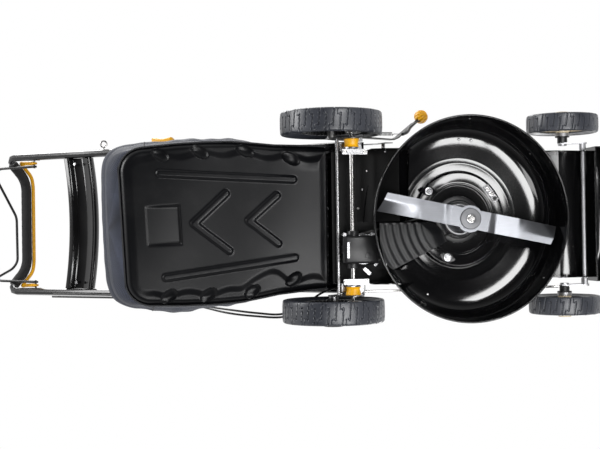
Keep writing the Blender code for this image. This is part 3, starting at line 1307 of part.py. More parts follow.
def make_muffler():
    y = BLADE_Y
    muffler = box("muffler", (0.078, y - 0.104, 0.176), (0.168, y - 0.062 - GAP, 0.238), 0.010, 2)
    for i in range(3):
        x = 0.092 + 0.015 * i
        cut(muffler, box("louvre", (x, y - 0.12, 0.190), (x + 0.006, y - 0.1015, 0.224)))
    pipe = cylinder("outlet", (0.148, y - 0.100, 0.200), (0.152, y - 0.114, 0.194), 0.007, 8)
    join(muffler, pipe)
    place(muffler, "cast_aluminium")


def make_plug_cap():
    y = BLADE_Y
    x = CYLINDER_END_X
    cap = cylinder("spark_plug_cap", (x + GAP, y, CYLINDER_Z), (x + 0.026, y, CYLINDER_Z), 0.0095, 12)
    lead = rounded_path([(x + 0.021, y, CYLINDER_Z), (x + 0.021, y, CYLINDER_Z + 0.025),
                         (NOSE_END_X + 0.0043, y, COVER_LOW_Z + 0.008)], 0.008, 3)
    join(cap, tube("plug_lead", lead, 0.0035, 1))
    place(cap, "wire_black")


# Handle

def upper_dir():
    """Direction of the upper handle's tubes, from the fold joint to the rear."""
    return Vector((-math.cos(UPPER_SLOPE), 0, math.sin(UPPER_SLOPE)))


def on_upper(x, lift=0.0, y=UPPER_Y):
    """A point on the upper tube's middle line at an X, moved square to the tube by lift."""
    length = (x - FOLD_X) / upper_dir().x
    normal = Vector((math.sin(UPPER_SLOPE), 0, math.cos(UPPER_SLOPE)))
    return Vector((FOLD_X, y, FOLD_Z)) + upper_dir() * length + normal * lift


def make_lower_handles():
    """Two tubes from the deck's brackets to the fold joint, drilled for the cam bolts."""
    foot = Vector((LOWER_END_X, LOWER_Y, LOWER_END_Z))
    head = Vector((FOLD_X, LOWER_Y, FOLD_Z))
    along = (head - foot).normalized()
    tubes = tube("lower_handle_left", [foot - along * 0.010, head + along * 0.014], TUBE_RADIUS, TUBE_SIDES)
    cut(tubes, cylinder("cam_hole", (FOLD_X, LOWER_Y - 0.02, FOLD_Z), (FOLD_X, LOWER_Y + 0.02, FOLD_Z),
                        CAM_BOLT_RADIUS + RUNNING_GAP, 12))
    other = mirrored(tubes, "lower_handle_right")
    place(tubes, "black_tube")
    place(other, "black_tube")


def make_upper_handle(upper):
    """One bent tube: two legs, risers that turn in, and the crossbar; with the bails' brackets."""
    corner = on_upper(HANDLE_CORNER_X)
    points = []
    for side in (1, -1):
        leg = [Vector((FOLD_X, UPPER_Y, FOLD_Z)) - upper_dir() * 0.016, corner,
               Vector((GRIP_X, GRIP_HALF + 0.016, GRIP_Z))]
        leg = [Vector((p.x, side * p.y, p.z)) for p in leg]
        points += leg if side == 1 else leg[::-1]
    handle = tube("upper_handle", rounded_path(points, 0.030, 3), TUBE_RADIUS, TUBE_SIDES)
    for side in (1, -1):
        centre = on_upper(BAIL_PIVOT_X, BAIL_PIVOT_LIFT)
        low, high = sorted((side * (UPPER_Y - 0.0105), side * (UPPER_Y - 0.0075)))
        ear = []
        for ahead, lift in ((0.020, 0.002), (-0.020, 0.002), (-0.012, BAIL_PIVOT_LIFT + 0.008),
                            (0.012, BAIL_PIVOT_LIFT + 0.008)):
            p = on_upper(BAIL_PIVOT_X + ahead, lift)
            ear.append((p.x, p.z))
        join(handle, plate("bail_ear", [ear], low, high))
        pin = cylinder("bail_pin", (centre.x, side * (UPPER_Y - 0.010), centre.z),
                       (centre.x, side * (UPPER_Y - 0.034), centre.z), 0.0030, 8)
        join(handle, pin)
        cut(handle, cylinder("cam_hole", (FOLD_X, side * (UPPER_Y - 0.02), FOLD_Z),
                             (FOLD_X, side * (UPPER_Y + 0.02), FOLD_Z), CAM_BOLT_RADIUS + GAP, 12))
    root = rope_guide_root()
    cut(handle, cylinder("guide_hole", root + Vector((0, 0.001, 0)), root - Vector((0, 0.02, 0)),
                         GUIDE_RADIUS + GAP, 8))
    place(handle, "black_tube", upper)


def rope_guide_root():
    """Where the rope guide's wire starts inside the right-hand upper tube."""
    return on_upper(-0.901, 0.002, -(UPPER_Y + 0.004))


def make_rope_guide(upper):
    """The open wire eye on the right-hand tube that guides the starter rope."""
    root = rope_guide_root()
    eye = root - Vector((0, 0.026, 0))
    guide = [root, eye]
    for i in range(1, 9):
        angle = math.radians(39.4 * i)
        turn = Vector((math.cos(angle) - 1, 0, math.sin(angle))) * GUIDE_LOOP
        guide.append(eye + turn - Vector((0, 0.0011 * i, 0)))
    place(tube("rope_guide", guide, GUIDE_RADIUS, 1), "black_tube", upper)


def make_grip(upper):
    bore = TUBE_RADIUS + GAP
    profile = [(bore, -GRIP_HALF), (GRIP_RADIUS - 0.002, -GRIP_HALF), (GRIP_RADIUS, -GRIP_HALF + 0.006),
               (GRIP_RADIUS, GRIP_HALF - 0.006), (GRIP_RADIUS - 0.002, GRIP_HALF), (bore, GRIP_HALF)]
    grip = revolve("handle_grip", profile, (GRIP_X, 0, GRIP_Z), (0, 1, 0), steps=16)
    place(grip, "foam", upper)


def make_console(upper):
    """The curved console panel between the upper tubes."""
    reach = UPPER_Y - TUBE_RADIUS - GAP
    stations = []
    for share in (-1.0, -0.766, -0.460, 0.0, 0.460, 0.766, 1.0):
        y = share * reach
        bow = 1 - share ** 2
        rear = CONSOLE_REAR_X + CONSOLE_BOW * bow
        front = CONSOLE_REAR_X + CONSOLE_DEPTH + CONSOLE_BOW * bow
        ring = []
        for x, lift in ((rear, -0.007), (front, -0.007), (front, 0.009),
                        ((rear + front) / 2, 0.016 + 0.006 * bow), (rear, 0.009)):
            p = on_upper(x, lift, y)
            ring.append((p.x, p.y, p.z))
        stations.append(ring)
    place(loft("console_panel", stations), "gloss_plastic", upper)


def make_bails(upper):
    """The yellow presence bail along the grip's front and the offset black drive bail behind it."""
    pivot = on_upper(BAIL_PIVOT_X, BAIL_PIVOT_LIFT, 0)
    opc = body("opc_bail_turn", pivot, upper)
    drive = body("drive_bail_turn", pivot, upper)
    y_opc = UPPER_Y - 0.0185
    y_drive = UPPER_Y - 0.0285
    eye_y = Vector((0, 0.003, 0))
    z = pivot.z
    opc_half = [(-0.034, 0.0015, z + 0.038), (-0.048, 0.0055, z + 0.055), (-0.016, -0.0385, GRIP_Z - 0.008),
                (-0.0125, -0.0685, GRIP_Z)]
    opc_path = [Vector((pivot.x + x, y_opc + y, z)) for x, y, z in opc_half]
    opc_path += [Vector((p.x, -p.y, p.z)) for p in reversed(opc_path)]
    rear = DRIVE_BAIL_REAR_X + 0.0008
    drive_path = [Vector(p) for p in (
        (rear + 0.012, y_drive - 0.004, GRIP_Z - 0.045), (rear, y_drive - 0.012, GRIP_Z - 0.030),
        (rear + 0.048, 0.1385, GRIP_Z + 0.010), (rear + 0.0615, 0.1167, GRIP_Z + 0.015),
        (rear + 0.060, -0.0234, GRIP_Z + 0.015), (rear, -y_drive + 0.026, GRIP_Z - 0.030),
        (rear + 0.012, -y_drive + 0.004, GRIP_Z - 0.045))]
    for name, turn, radius, resolution, y, mat, inner in (
            ("opc_bail", opc, OPC_RADIUS, 2, y_opc, "yellow_plastic", opc_path),
            ("drive_bail", drive, DRIVE_BAIL_RADIUS, 1, y_drive, "wire_black", drive_path)):
        start = Vector((pivot.x, y, pivot.z))
        path = [start] + inner + [Vector((start.x, -start.y, start.z))]
        bail = tube(name, rounded_path(path, 0.014, 2), radius, resolution)
        for side in (1, -1):
            centre = Vector((start.x, side * start.y, start.z))
            join(bail, cylinder("bail_eye", centre - eye_y, centre + eye_y, 0.0075, 12))
            cut(bail, cylinder("bail_hole", centre - eye_y * 3, centre + eye_y * 3, 0.0030 + RUNNING_GAP, 8))
        place(bail, mat, turn)


def make_cam_levers(upper):
    """The cam quick-release levers, each with its bolt through both tubes."""
    along = upper_dir()
    normal = Vector((math.sin(UPPER_SLOPE), 0, math.cos(UPPER_SLOPE)))
    for side, word in ((1, "left"), (-1, "right")):
        face = UPPER_Y + TUBE_FLAT + GAP
        root = Vector((FOLD_X, side * (face + 0.012), FOLD_Z))
        turn = body("cam_turn_" + word, root, upper)
        rings = []
        for s, out_low, out_high, wide in ((-0.009, 0.005, 0.019, 0.006), (0.0, 0.0, 0.0255, 0.009),
                                           (0.018, 0.004, 0.023, 0.010), (0.038, 0.011, 0.023, 0.011),
                                           (0.060, 0.014, 0.026, 0.011)):
            centre = Vector((FOLD_X, 0, FOLD_Z)) + along * s
            ring = []
            for n, out in ((-wide, out_low), (wide, out_low), (wide, out_high - 0.003),
                           (wide * 0.5, out_high), (-wide * 0.5, out_high), (-wide, out_high - 0.003)):
                p = centre + normal * n
                ring.append((p.x, side * (face + out), p.z))
            rings.append(ring)
        lever = loft("cam_lever_" + word, rings)
        place(lever, "yellow_plastic", turn)


def make_cam_bolts(handle_left, handle_right):
    """Bolts fixed in the lower tubes, on which the upper handle folds."""
    for side, tubes in ((1, handle_left), (-1, handle_right)):
        face = UPPER_Y + TUBE_FLAT
        bolt = cylinder("cam_bolt", (FOLD_X, side * (LOWER_Y - TUBE_RADIUS - 0.004), FOLD_Z),
                        (FOLD_X, side * (face - GAP), FOLD_Z), CAM_BOLT_RADIUS, 12)
        head = cylinder("cam_bolt_head", (FOLD_X, side * (LOWER_Y - TUBE_RADIUS - 0.004), FOLD_Z),
                        (FOLD_X, side * (LOWER_Y - TUBE_RADIUS + 0.003), FOLD_Z), 0.008, 12)
        join(tubes, bolt, head)


# Bag and flap

def base_z(x):
    share = (BAG_FRONT_X - x) / (BAG_FRONT_X - BAG_REAR_X)
    return BAG_BASE_FRONT_Z + (BAG_BASE_REAR_Z - BAG_BASE_FRONT_Z) * share


def lid_z(x):
    """Height of the bag's lid along its middle."""
    points = [(-0.328, 0.336), (-0.345, 0.345), (-0.430, 0.400), (-0.560, BAG_TOP_Z), (-0.700, 0.428),
              (-0.820, 0.405), (-0.880, 0.380)]
    for (x0, z0), (x1, z1) in zip(points, points[1:]):
        if x1 <= x <= x0:
            return z0 + (z1 - z0) * (x0 - x) / (x0 - x1)
    return points[-1][1] if x < points[-1][0] else points[0][1]


def bag_plan(inset):
    """The bag's outline seen from above, from the front left round the rear to the front right."""
    half = TRAY_HALF + 0.012 - inset
    rear = BAG_REAR_X + inset
    points = [(BAG_FRONT_X, half - 0.012), (-0.400, half - 0.010), (-0.470, half - 0.006),
              (-0.560, half + 0.006), (-0.680, half + 0.007), (-0.780, half + 0.002)]
    points += [(x, y) for x, y in arc((rear + 0.060, half - 0.060), 0.060, 78, 176, 5)]
    points += [(rear - 0.004, half * 0.35)]
    return points + [(x, -y) for x, y in reversed(points)]


def bag_wall_point(x, y, level):
    """A point of the bag's wall: level 0 at the base's rim, 1 at the lid's edge."""
    low = base_z(x) + TRAY_RIM
    high = lid_z(x + BAG_LEAN if x < -0.75 else x) - 0.0148
    z = low + (high - low) * level
    bulge = 0.010 * math.sin(math.pi * min(1.0, level * 1.3)) if x < -0.50 else 0.0
    narrow = 1.0 - BAG_TAPER * max(0.0, (level - 0.28) / 0.72) ** 0.8
    if x > -0.48:
        narrow = 1.0 - BAG_TAPER * min(1.0, max(0.0, (level - 0.12) / 0.30))
    back = BAG_LEAN * max(0.0, level - 0.3) / 0.7 if x < -0.75 else 0.0
    return Vector((x + back, math.copysign(abs(y) * narrow + bulge, y) if abs(y) > 0.1 else y * narrow, z))


def make_bag(bag):
    """Fabric walls round the sides and the rear, a hard base and lid, and the mouth's frame."""
    levels = (0.0, 0.14, 0.32, 0.55, 0.78, 1.0)
    plan = bag_plan(0.0)
    verts = [tuple(bag_wall_point(x, y, level)) for x, y in plan for level in levels]
    n = len(levels)
    faces = [(i * n + j, i * n + j + 1, (i + 1) * n + j + 1, (i + 1) * n + j)
             for i in range(len(plan) - 1) for j in range(n - 1)]
    mesh = bpy.data.meshes.new("bag_fabric")
    mesh.from_pydata(verts, [], faces)
    fabric = add_object("bag_fabric", mesh)
    mod = fabric.modifiers.new("cloth", "SOLIDIFY")
    mod.thickness = BAG_SHELL
    mod.offset = 0.0
    place(bake(fabric, outward=True), "bag_cloth", bag)
    make_bag_base(bag)
    make_bag_lid(bag)
    make_mouth_frame(bag)


def tray_outline(inset):
    """The base's outline seen from below."""
    half = TRAY_HALF - inset
    front = BAG_FRONT_X - 0.002 - inset
    rear = BAG_REAR_X + 0.022 + inset
    points = [(front, half - 0.010), (-0.400, half - 0.006), (-0.560, half), (-0.740, half)]
    points += arc((rear + 0.055, half - 0.055), 0.055, 90, 180, 6)
    return points + [(x, -y) for x, y in reversed(points)]


def make_bag_base(bag):
    """The hard base: a tray with a turned-up rim and ribs pressed out of its underside."""
    rings = []
    for inset, lift in ((0.018, 0.0), (0.004, 0.006), (0.0, 0.014), (0.0, TRAY_RIM - 0.0025)):
        rings.append([(x, y, base_z(x) + lift) for x, y in tray_outline(inset)])
    base = loft("bag_base", rings)
    inner = []
    for inset, lift in ((0.020, 0.003), (0.007, 0.009), (0.003, 0.016), (0.003, TRAY_RIM + 0.01)):
        inner.append([(x, y, base_z(x) + lift) for x, y in tray_outline(inset)])
    cut(base, loft("base_hollow", inner))
    flange = sloped_plate("rim_flange", [bag_plan(-0.002), tray_outline(0.0015)],
                          TRAY_RIM - 0.0045, TRAY_RIM - 0.0008)
    join(base, flange, *base_ribs())
    place(base, "black_plastic", bag)


def rib_bar(start, end, half_width):
    """A low raised rib on the base's underside, with round ends, between two (x, y) points."""
    (x0, y0), (x1, y1) = start, end
    heading = math.degrees(math.atan2(y1 - y0, x1 - x0))
    outline = arc((x1, y1), half_width, heading - 90, heading + 90, 5)
    outline += arc((x0, y0), half_width, heading + 90, heading + 270, 5)
    return outline


def sloped_plate(name, outlines, low, high):
    """A plate between two heights over the base's underside, following the base's slope."""
    form = plate(name, outlines, low, high, plane="XY")
    for vert in form.data.vertices:
        vert.co.z += base_z(vert.co.x)
    return form


def raised(name, outline, height=0.0045):
    """A flat form that stands out of the base's underside."""
    return sloped_plate(name, [outline], -height, BAG_SHELL / 2)


def chevron(apex, length, half_span, half_width):
    """A V-shaped rib that opens forward from its apex, as (x, y) points."""
    heading = math.degrees(math.atan2(half_span, length))
    step = half_width / math.sin(math.radians(heading))
    tip = arc((apex + length, half_span), half_width, heading + 90, heading - 90, 5)
    return [(apex - step, 0.0)] + tip + [(apex + step, 0.0)] + [(x, -y) for x, y in reversed(tip)]


def base_ribs():
    forms = [raised("rib", rib_bar((-0.742, 0.132), (-0.420, 0.106), 0.007)),
             raised("rib", rib_bar((-0.742, -0.128), (-0.420, -0.106), 0.007))]
    forms += [raised("chevron", chevron(apex, 0.092, 0.072, 0.006)) for apex in (-0.660, -0.522)]
    square = [(-0.788, -0.052), (-0.698, -0.052), (-0.698, 0.052), (-0.788, 0.052)]
    forms.append(raised("square", square, 0.003))
    return forms


def make_bag_lid(bag):
    """The bag's hard lid, with a grip moulded across it."""
    stations = [(LID_FRONT_X, 0.029), (-0.380, 0.026), (-0.430, 0.024), (-0.560, 0.0135), (-0.700, 0.0125),
                (-0.800, 0.018), (-0.830, 0.027), (-0.850, 0.044), (-0.8585, 0.069)]
    rings = []
    for x, inset in stations:
        half = TRAY_HALF - inset
        z = lid_z(x)
        ring = []
        for y, drop in ((-half, 0.010), (-half * 0.92, 0.004), (-half * 0.6, 0.0), (0, -0.002),
                        (half * 0.6, 0.0), (half * 0.92, 0.004), (half, 0.010)):
            ring.append((x, y, z - drop))
        under = [(px, py, pz - 0.003) for px, py, pz in reversed(ring)]
        rings.append(ring + under)
    lid = loft("bag_lid", rings)
    grip_x = -0.600
    low = lid_z(grip_x) - 0.002
    high = lid_z(grip_x) + 0.034
    hoop = [(grip_x, -0.055, low), (grip_x, -0.055, high), (grip_x, 0.055, high), (grip_x, 0.055, low)]
    join(lid, tube("lid_grip", rounded_path(hoop, 0.014, 3), 0.008, 2))
    place(lid, "black_plastic", bag)


def make_mouth_frame(bag):
    """The frame round the bag's mouth, between the base and the lid, with its two hooks."""
    front = HINGE_X - 0.0085
    back = BAG_FRONT_X + GAP
    half = TUNNEL_HALF - 0.011
    low = BAG_BASE_FRONT_Z + TRAY_RIM
    high = lid_z(LID_FRONT_X) - 0.016
    middle = (low + high) / 2
    tall = (high - low) / 2
    outer = [(u, v + middle) for u, v in rounded_rectangle(half, tall, 0.012)]
    inner = [(u, v + middle) for u, v in rounded_rectangle(half - 0.010, tall - 0.010, 0.006)]
    frame = plate("bag_mouth_frame", [outer, inner], back, front, plane="YZ")
    for side in (1, -1):
        hook = arc((HINGE_X, HINGE_Z), HINGE_RADIUS + 0.0045, 200, 30, 7)
        hook += arc((HINGE_X, HINGE_Z), HINGE_RADIUS + RUNNING_GAP, 30, 200, 7)
        low_y, high_y = sorted((side * HOOK_Y, side * (HOOK_Y + HOOK_WIDTH)))
        root = box("hook_root", (front - 0.002, low_y, HINGE_Z - 0.003),
                   (HINGE_X - HINGE_RADIUS - 0.002, high_y, HINGE_Z + 0.003))
        join(frame, plate("hook", [hook], low_y + 0.0002, high_y - 0.0002), root)
    place(frame, "black_plastic", bag)


def make_hinge_rod():
    reach = TUNNEL_HALF + 0.0105
    rod = cylinder("hinge_rod", (HINGE_X, -reach, HINGE_Z), (HINGE_X, reach, HINGE_Z), HINGE_RADIUS, 12)
    ear = [(HINGE_X + 0.010, HINGE_Z + 0.009), (HINGE_X - 0.009, HINGE_Z + 0.009),
           (HINGE_X - 0.009, HINGE_Z - 0.030), (HINGE_X + 0.030, HINGE_Z - 0.030)]
    for side in (1, -1):
        low, high = sorted((side * (TUNNEL_HALF + GAP), side * (TUNNEL_HALF + 0.0065)))
        join(rod, plate("rod_ear", [ear], low, high))
    place(rod, "zinc")


def make_flap(flap):
    """The rear flap: at rest it lies on the bag's lid."""
    outer = HINGE_RADIUS + 0.0035
    barrel_half = HOOK_Y - 0.006
    sheet_half = TUNNEL_HALF + 0.005
    slope = math.atan2(lid_z(FLAP_START_X - 0.085) - lid_z(FLAP_START_X), 0.085)
    along = Vector((-math.cos(slope), math.sin(slope)))
    normal = Vector((math.sin(slope), math.cos(slope)))
    start = Vector((FLAP_START_X, lid_z(FLAP_START_X))) + normal * 0.0028
    profile = [start, start + along * (FLAP_LENGTH - 0.025), start + along * FLAP_LENGTH]
    top = [p + normal * 0.003 for p in reversed(profile)]
    sheet = plate("rear_flap", [[tuple(p) for p in profile + top]], -sheet_half, sheet_half)
    barrel = cylinder("flap_barrel", (HINGE_X, -barrel_half, HINGE_Z), (HINGE_X, barrel_half, HINGE_Z),
                      outer, 14)
    neck = [(HINGE_X + 0.004, HINGE_Z + outer - 0.003), (HINGE_X - 0.005, HINGE_Z + outer - 0.003)]
    neck += [(-0.3325, 0.3405), tuple(start + along * 0.004), tuple(start + along * 0.004 + normal * 0.0029),
             (-0.3300, 0.3440)]
    join(sheet, plate("flap_neck", [neck], -barrel_half, barrel_half), barrel)
    cut(sheet, cylinder("flap_bore", (HINGE_X, -0.2, HINGE_Z), (HINGE_X, 0.2, HINGE_Z),
                        HINGE_RADIUS + RUNNING_GAP, 12))
    place(sheet, "black_plastic", flap)


# Control cables

def make_cables():
    """Two cables that follow the left tubes, one to the wheel drive and one to the engine's brake."""
    run = TUBE_RADIUS + CABLE_RADIUS + 0.0008
    drive = [on_upper(-1.060, -0.003, UPPER_Y + run), on_upper(-0.960, -0.003, UPPER_Y + run),
             on_upper(-0.860, -0.004, UPPER_Y + run), on_upper(-0.780, -0.014, UPPER_Y + run + 0.001),
             on_upper(-0.715, -0.024, UPPER_Y + run + 0.004)]
    down_to_gearbox = ((-0.640, 0.0660, 0.478), (-0.570, 0.0720, 0.366), (-0.500, 0.0780, 0.292),
                       (-0.440, 0.0800, 0.264), (-0.385, 0.0610, 0.262), (-0.345, 0.0320, 0.252),
                       (-0.318, 0.0170, 0.230), (-0.300, 0.0120, 0.205), (-0.292, 0.0115, 0.180),
                       (-0.291, 0.0115, wing_underside() + SHEET + GAP))
    drive += [Vector((x, TUNNEL_HALF + out, z)) for x, out, z in down_to_gearbox]
    brake = [on_upper(-1.050, -run, UPPER_Y + 0.004), on_upper(-0.960, -run, UPPER_Y + 0.004),
             on_upper(-0.860, -run, UPPER_Y + 0.006), on_upper(-0.780, -run - 0.008, UPPER_Y + 0.010),
             on_upper(-0.715, -run - 0.022, UPPER_Y + 0.014)]
    down_to_engine = ((-0.640, 0.0680, 0.462), (-0.570, 0.0810, 0.362), (-0.500, 0.0870, 0.302),
                      (-0.440, 0.0890, 0.277), (-0.385, 0.0770, 0.286), (-0.330, 0.0550, 0.302),
                      (-0.270, 0.0370, 0.320), (-0.200, -0.0120, 0.312), (-0.150, -0.0670, 0.288))
    brake += [Vector((x, TUNNEL_HALF + out, z)) for x, out, z in down_to_engine]
    side = math.radians(150)
    for out, z in ((0.022, 0.272), (2 * GAP, 0.268)):
        reach = COVER_RADIUS + out
        brake.append(Vector((reach * math.cos(side), BLADE_Y + reach * math.sin(side), z)))
    for name, route in (("drive_cable", drive), ("brake_cable", brake)):
        place(tube(name, smooth_path(route, CABLE_POINTS), CABLE_RADIUS, 2), "wire_black")


def build():
    clear_scene()
    global PIECES, CUTTERS, ROOT
    PIECES = new_collection("lawn_mower")
    CUTTERS = new_collection("cutters")
    ROOT = bpy.data.objects.new("mower_frame", None)
    PIECES.objects.link(ROOT)
    ROOT.location = FRAME_SHIFT
    define_materials()
    make_deck()
    make_front_bumper()
    make_baffle()
    make_belt_guard()
    rear_carrier = body("rear_carrier", (REAR_PIVOT_X, 0, REAR_PIVOT_Z))
    front_carrier = body("front_carrier", (FRONT_PIVOT_X, 0, FRONT_PIVOT_Z))
    make_wheels(rear_carrier, front_carrier)
    make_pinions(rear_carrier)
    make_rear_carrier(rear_carrier)
    make_height_lever(rear_carrier)
    make_link(rear_carrier)
    make_front_carrier(front_carrier)
    make_drive_shaft()
    make_bushes_and_brackets()
    make_quadrant()
    crank = body("crank", (0, BLADE_Y, BLADE_Z))
    make_blade(crank)
    make_crank(crank)
    make_belt()
    make_gearbox()
    neck_low, neck_high = make_engine()
    make_oil_cap(neck_low, neck_high)
    make_engine_cover()
    make_recoil()
    make_starter_grip()
    make_tank_and_filter()
    make_muffler()
    make_plug_cap()
    make_lower_handles()
    make_cam_bolts(bpy.data.objects["lower_handle_left"], bpy.data.objects["lower_handle_right"])
    upper = body("upper_fold", (FOLD_X, 0, FOLD_Z))
    make_upper_handle(upper)
    make_rope_guide(upper)
    make_grip(upper)
    make_console(upper)
    make_bails(upper)
    make_cam_levers(upper)
    make_cables()
    bag = body("bag_hinge", (HINGE_X, 0, HINGE_Z))
    make_bag(bag)
    flap = body("flap_hinge", (HINGE_X, 0, HINGE_Z), bag)
    make_flap(flap)
    make_hinge_rod()


build()
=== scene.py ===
"""Finished look of a petrol lawn mower, seen from below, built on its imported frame."""
import json
import math

import bmesh
import bpy
import numpy as np
from mathutils import Matrix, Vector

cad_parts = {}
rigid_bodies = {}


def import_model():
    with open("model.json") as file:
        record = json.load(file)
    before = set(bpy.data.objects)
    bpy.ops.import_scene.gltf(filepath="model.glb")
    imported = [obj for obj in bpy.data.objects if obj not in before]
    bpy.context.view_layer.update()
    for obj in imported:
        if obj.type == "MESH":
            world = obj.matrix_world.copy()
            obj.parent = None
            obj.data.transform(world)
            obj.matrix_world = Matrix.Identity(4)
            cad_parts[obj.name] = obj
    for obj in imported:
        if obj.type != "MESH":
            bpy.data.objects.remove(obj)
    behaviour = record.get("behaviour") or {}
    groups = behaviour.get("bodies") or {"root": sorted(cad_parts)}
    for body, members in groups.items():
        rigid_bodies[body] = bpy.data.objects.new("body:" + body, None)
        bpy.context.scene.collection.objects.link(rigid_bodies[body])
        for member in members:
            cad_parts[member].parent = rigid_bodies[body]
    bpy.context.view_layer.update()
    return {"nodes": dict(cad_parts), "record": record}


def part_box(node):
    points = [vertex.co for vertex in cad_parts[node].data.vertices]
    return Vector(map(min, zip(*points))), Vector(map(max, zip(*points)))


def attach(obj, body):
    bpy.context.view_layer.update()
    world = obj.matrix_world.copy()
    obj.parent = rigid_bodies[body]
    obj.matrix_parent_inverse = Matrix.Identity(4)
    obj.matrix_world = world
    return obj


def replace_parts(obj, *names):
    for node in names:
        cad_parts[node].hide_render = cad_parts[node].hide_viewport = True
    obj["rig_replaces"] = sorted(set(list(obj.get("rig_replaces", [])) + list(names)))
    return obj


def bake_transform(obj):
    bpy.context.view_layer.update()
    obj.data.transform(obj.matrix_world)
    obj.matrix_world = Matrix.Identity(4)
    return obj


for leftover in list(bpy.data.objects):
    bpy.data.objects.remove(leftover)

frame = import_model()

MM = 0.001
TAU = 2 * math.pi

# Sizes of the mower, in metres, from its own middle: +X forward, +Y to its left, +Z up
AXLE_Y = 0.009  # the blade's axis, left of the wheels' middle line
REAR_RADIUS, REAR_WIDTH = 0.127, 0.058
FRONT_RADIUS, FRONT_WIDTH = 0.089, 0.046
RIM_BELOW_TYRE = 0.024
DECK_HALF_WIDTH, DECK_HALF_LENGTH = 0.2515, 0.243
RIM_Z, ROOF_Z, SHEET = 0.024, 0.150, 0.0022
ENGINE_HOLE = 0.060
TUNNEL_END_X = -0.322
TUBE_RADIUS = 0.011
UPPER_Y, HANDLE_CORNER_X = 0.207, -1.200
FOLD_X, FOLD_Z = -0.705, 0.626
UPPER_SLOPE = math.radians(34.76)
GRIP_X, GRIP_Z, GRIP_HALF, GRIP_RADIUS = -1.150, 1.030, 0.122, 0.0155
BAG_FRONT_X, BAG_REAR_X = -0.332, -0.872
BAG_BASE_FRONT_Z, BAG_BASE_REAR_Z = 0.170, 0.206
TRAY_HALF, TRAY_RIM = 0.184, 0.030
BAG_TAPER, BAG_LEAN = 0.165, 0.021
BAG_HALF = TRAY_HALF + 0.012
CABLE_RADIUS = 0.0028
BLADE_Z, BLADE_LENGTH, BLADE_WIDTH = 0.042, 0.456, 0.048
BLADE_YAW = math.radians(11.46)
BELT_GUARD_Z = 0.1205


def middle(node):
    """The middle of a CAD node's box, as an array."""
    low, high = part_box(node)
    return (np.array(low) + np.array(high)) / 2


SHIFT = np.array([middle("blade_bolt")[0], middle("blade_bolt")[1] - AXLE_Y, 0.0])


def wheel_centre(node):
    """A wheel's centre in the mower's own coordinates, from its tyre's box."""
    return middle(node) - SHIFT


# Shader groups

class Wiring:
    """A shader tree with short calls that add nodes to it; inputs are sockets, numbers or colours."""

    def __init__(self, tree):
        self.tree = tree

    def put(self, socket, value):
        """Links a socket or sets its value."""
        if isinstance(value, bpy.types.NodeSocket):
            self.tree.links.new(value, socket)
        else:
            socket.default_value = value

    def node(self, kind, settings=None, **inputs):
        """A node with settings as attributes; the other names are those of its sockets."""
        made = self.tree.nodes.new("ShaderNode" + kind)
        for key, value in (settings or {}).items():
            setattr(made, key, value)
        for key, value in inputs.items():
            self.put(made.inputs[key.replace("_", " ")], value)
        return made

    def maths(self, operation, *values, clamp=False):
        """A Math node's result."""
        made = self.node("Math", {"operation": operation, "use_clamp": clamp})
        for socket, value in zip(made.inputs, values):
            self.put(socket, value)
        return made.outputs[0]

    def plus(self, *values, clamp=False):
        return self.maths("ADD", *values, clamp=clamp)

    def minus(self, *values):
        return self.maths("SUBTRACT", *values)

    def times(self, *values, clamp=False):
        return self.maths("MULTIPLY", *values, clamp=clamp)

    def ramp(self, value, low, high, to_low=0.0, to_high=1.0):
        """value spread from low..high to to_low..to_high, held at both ends."""
        made = self.node("MapRange", {"interpolation_type": "SMOOTHSTEP"}, Value=value, From_Min=low,
                         From_Max=high, To_Min=to_low, To_Max=to_high)
        return made.outputs["Result"]

    def noise(self, vector, scale, detail, roughness=0.55):
        made = self.node("TexNoise", Vector=vector, Scale=scale, Detail=detail, Roughness=roughness)
        return made.outputs["Fac"]

    def blend(self, share, first, second):
        """A colour between first and second by share."""
        made = self.node("Mix", {"data_type": "RGBA"})
        for index, value in ((0, share), (6, first), (7, second)):
            self.put(made.inputs[index], value)
        return made.outputs[2]

    def place(self, kind="Object"):
        """The shaded point's coordinates."""
        return self.node("TexCoord").outputs[kind]

    def toned(self, colour, bright):
        """A colour made brighter or darker."""
        return self.node("HueSaturation", Color=colour, Value=bright).outputs["Color"]


def new_group(name, **inputs):
    """A group's wiring, its input sockets and the sockets of its outputs Color, Roughness and Height;
    inputs are named with their defaults."""
    tree = bpy.data.node_groups.new(name, "ShaderNodeTree")
    for label, default in inputs.items():
        kind = "Float" if isinstance(default, float) else {3: "Vector", 4: "Color"}[len(default)]
        socket = tree.interface.new_socket(label.replace("_", " "), in_out="INPUT",
                                           socket_type="NodeSocket" + kind)
        socket.default_value = default
    for label, kind in (("Color", "Color"), ("Roughness", "Float"), ("Height", "Float")):
        tree.interface.new_socket(label, in_out="OUTPUT", socket_type="NodeSocket" + kind)
    return Wiring(tree), tree.nodes.new("NodeGroupInput").outputs, tree.nodes.new("NodeGroupOutput").inputs


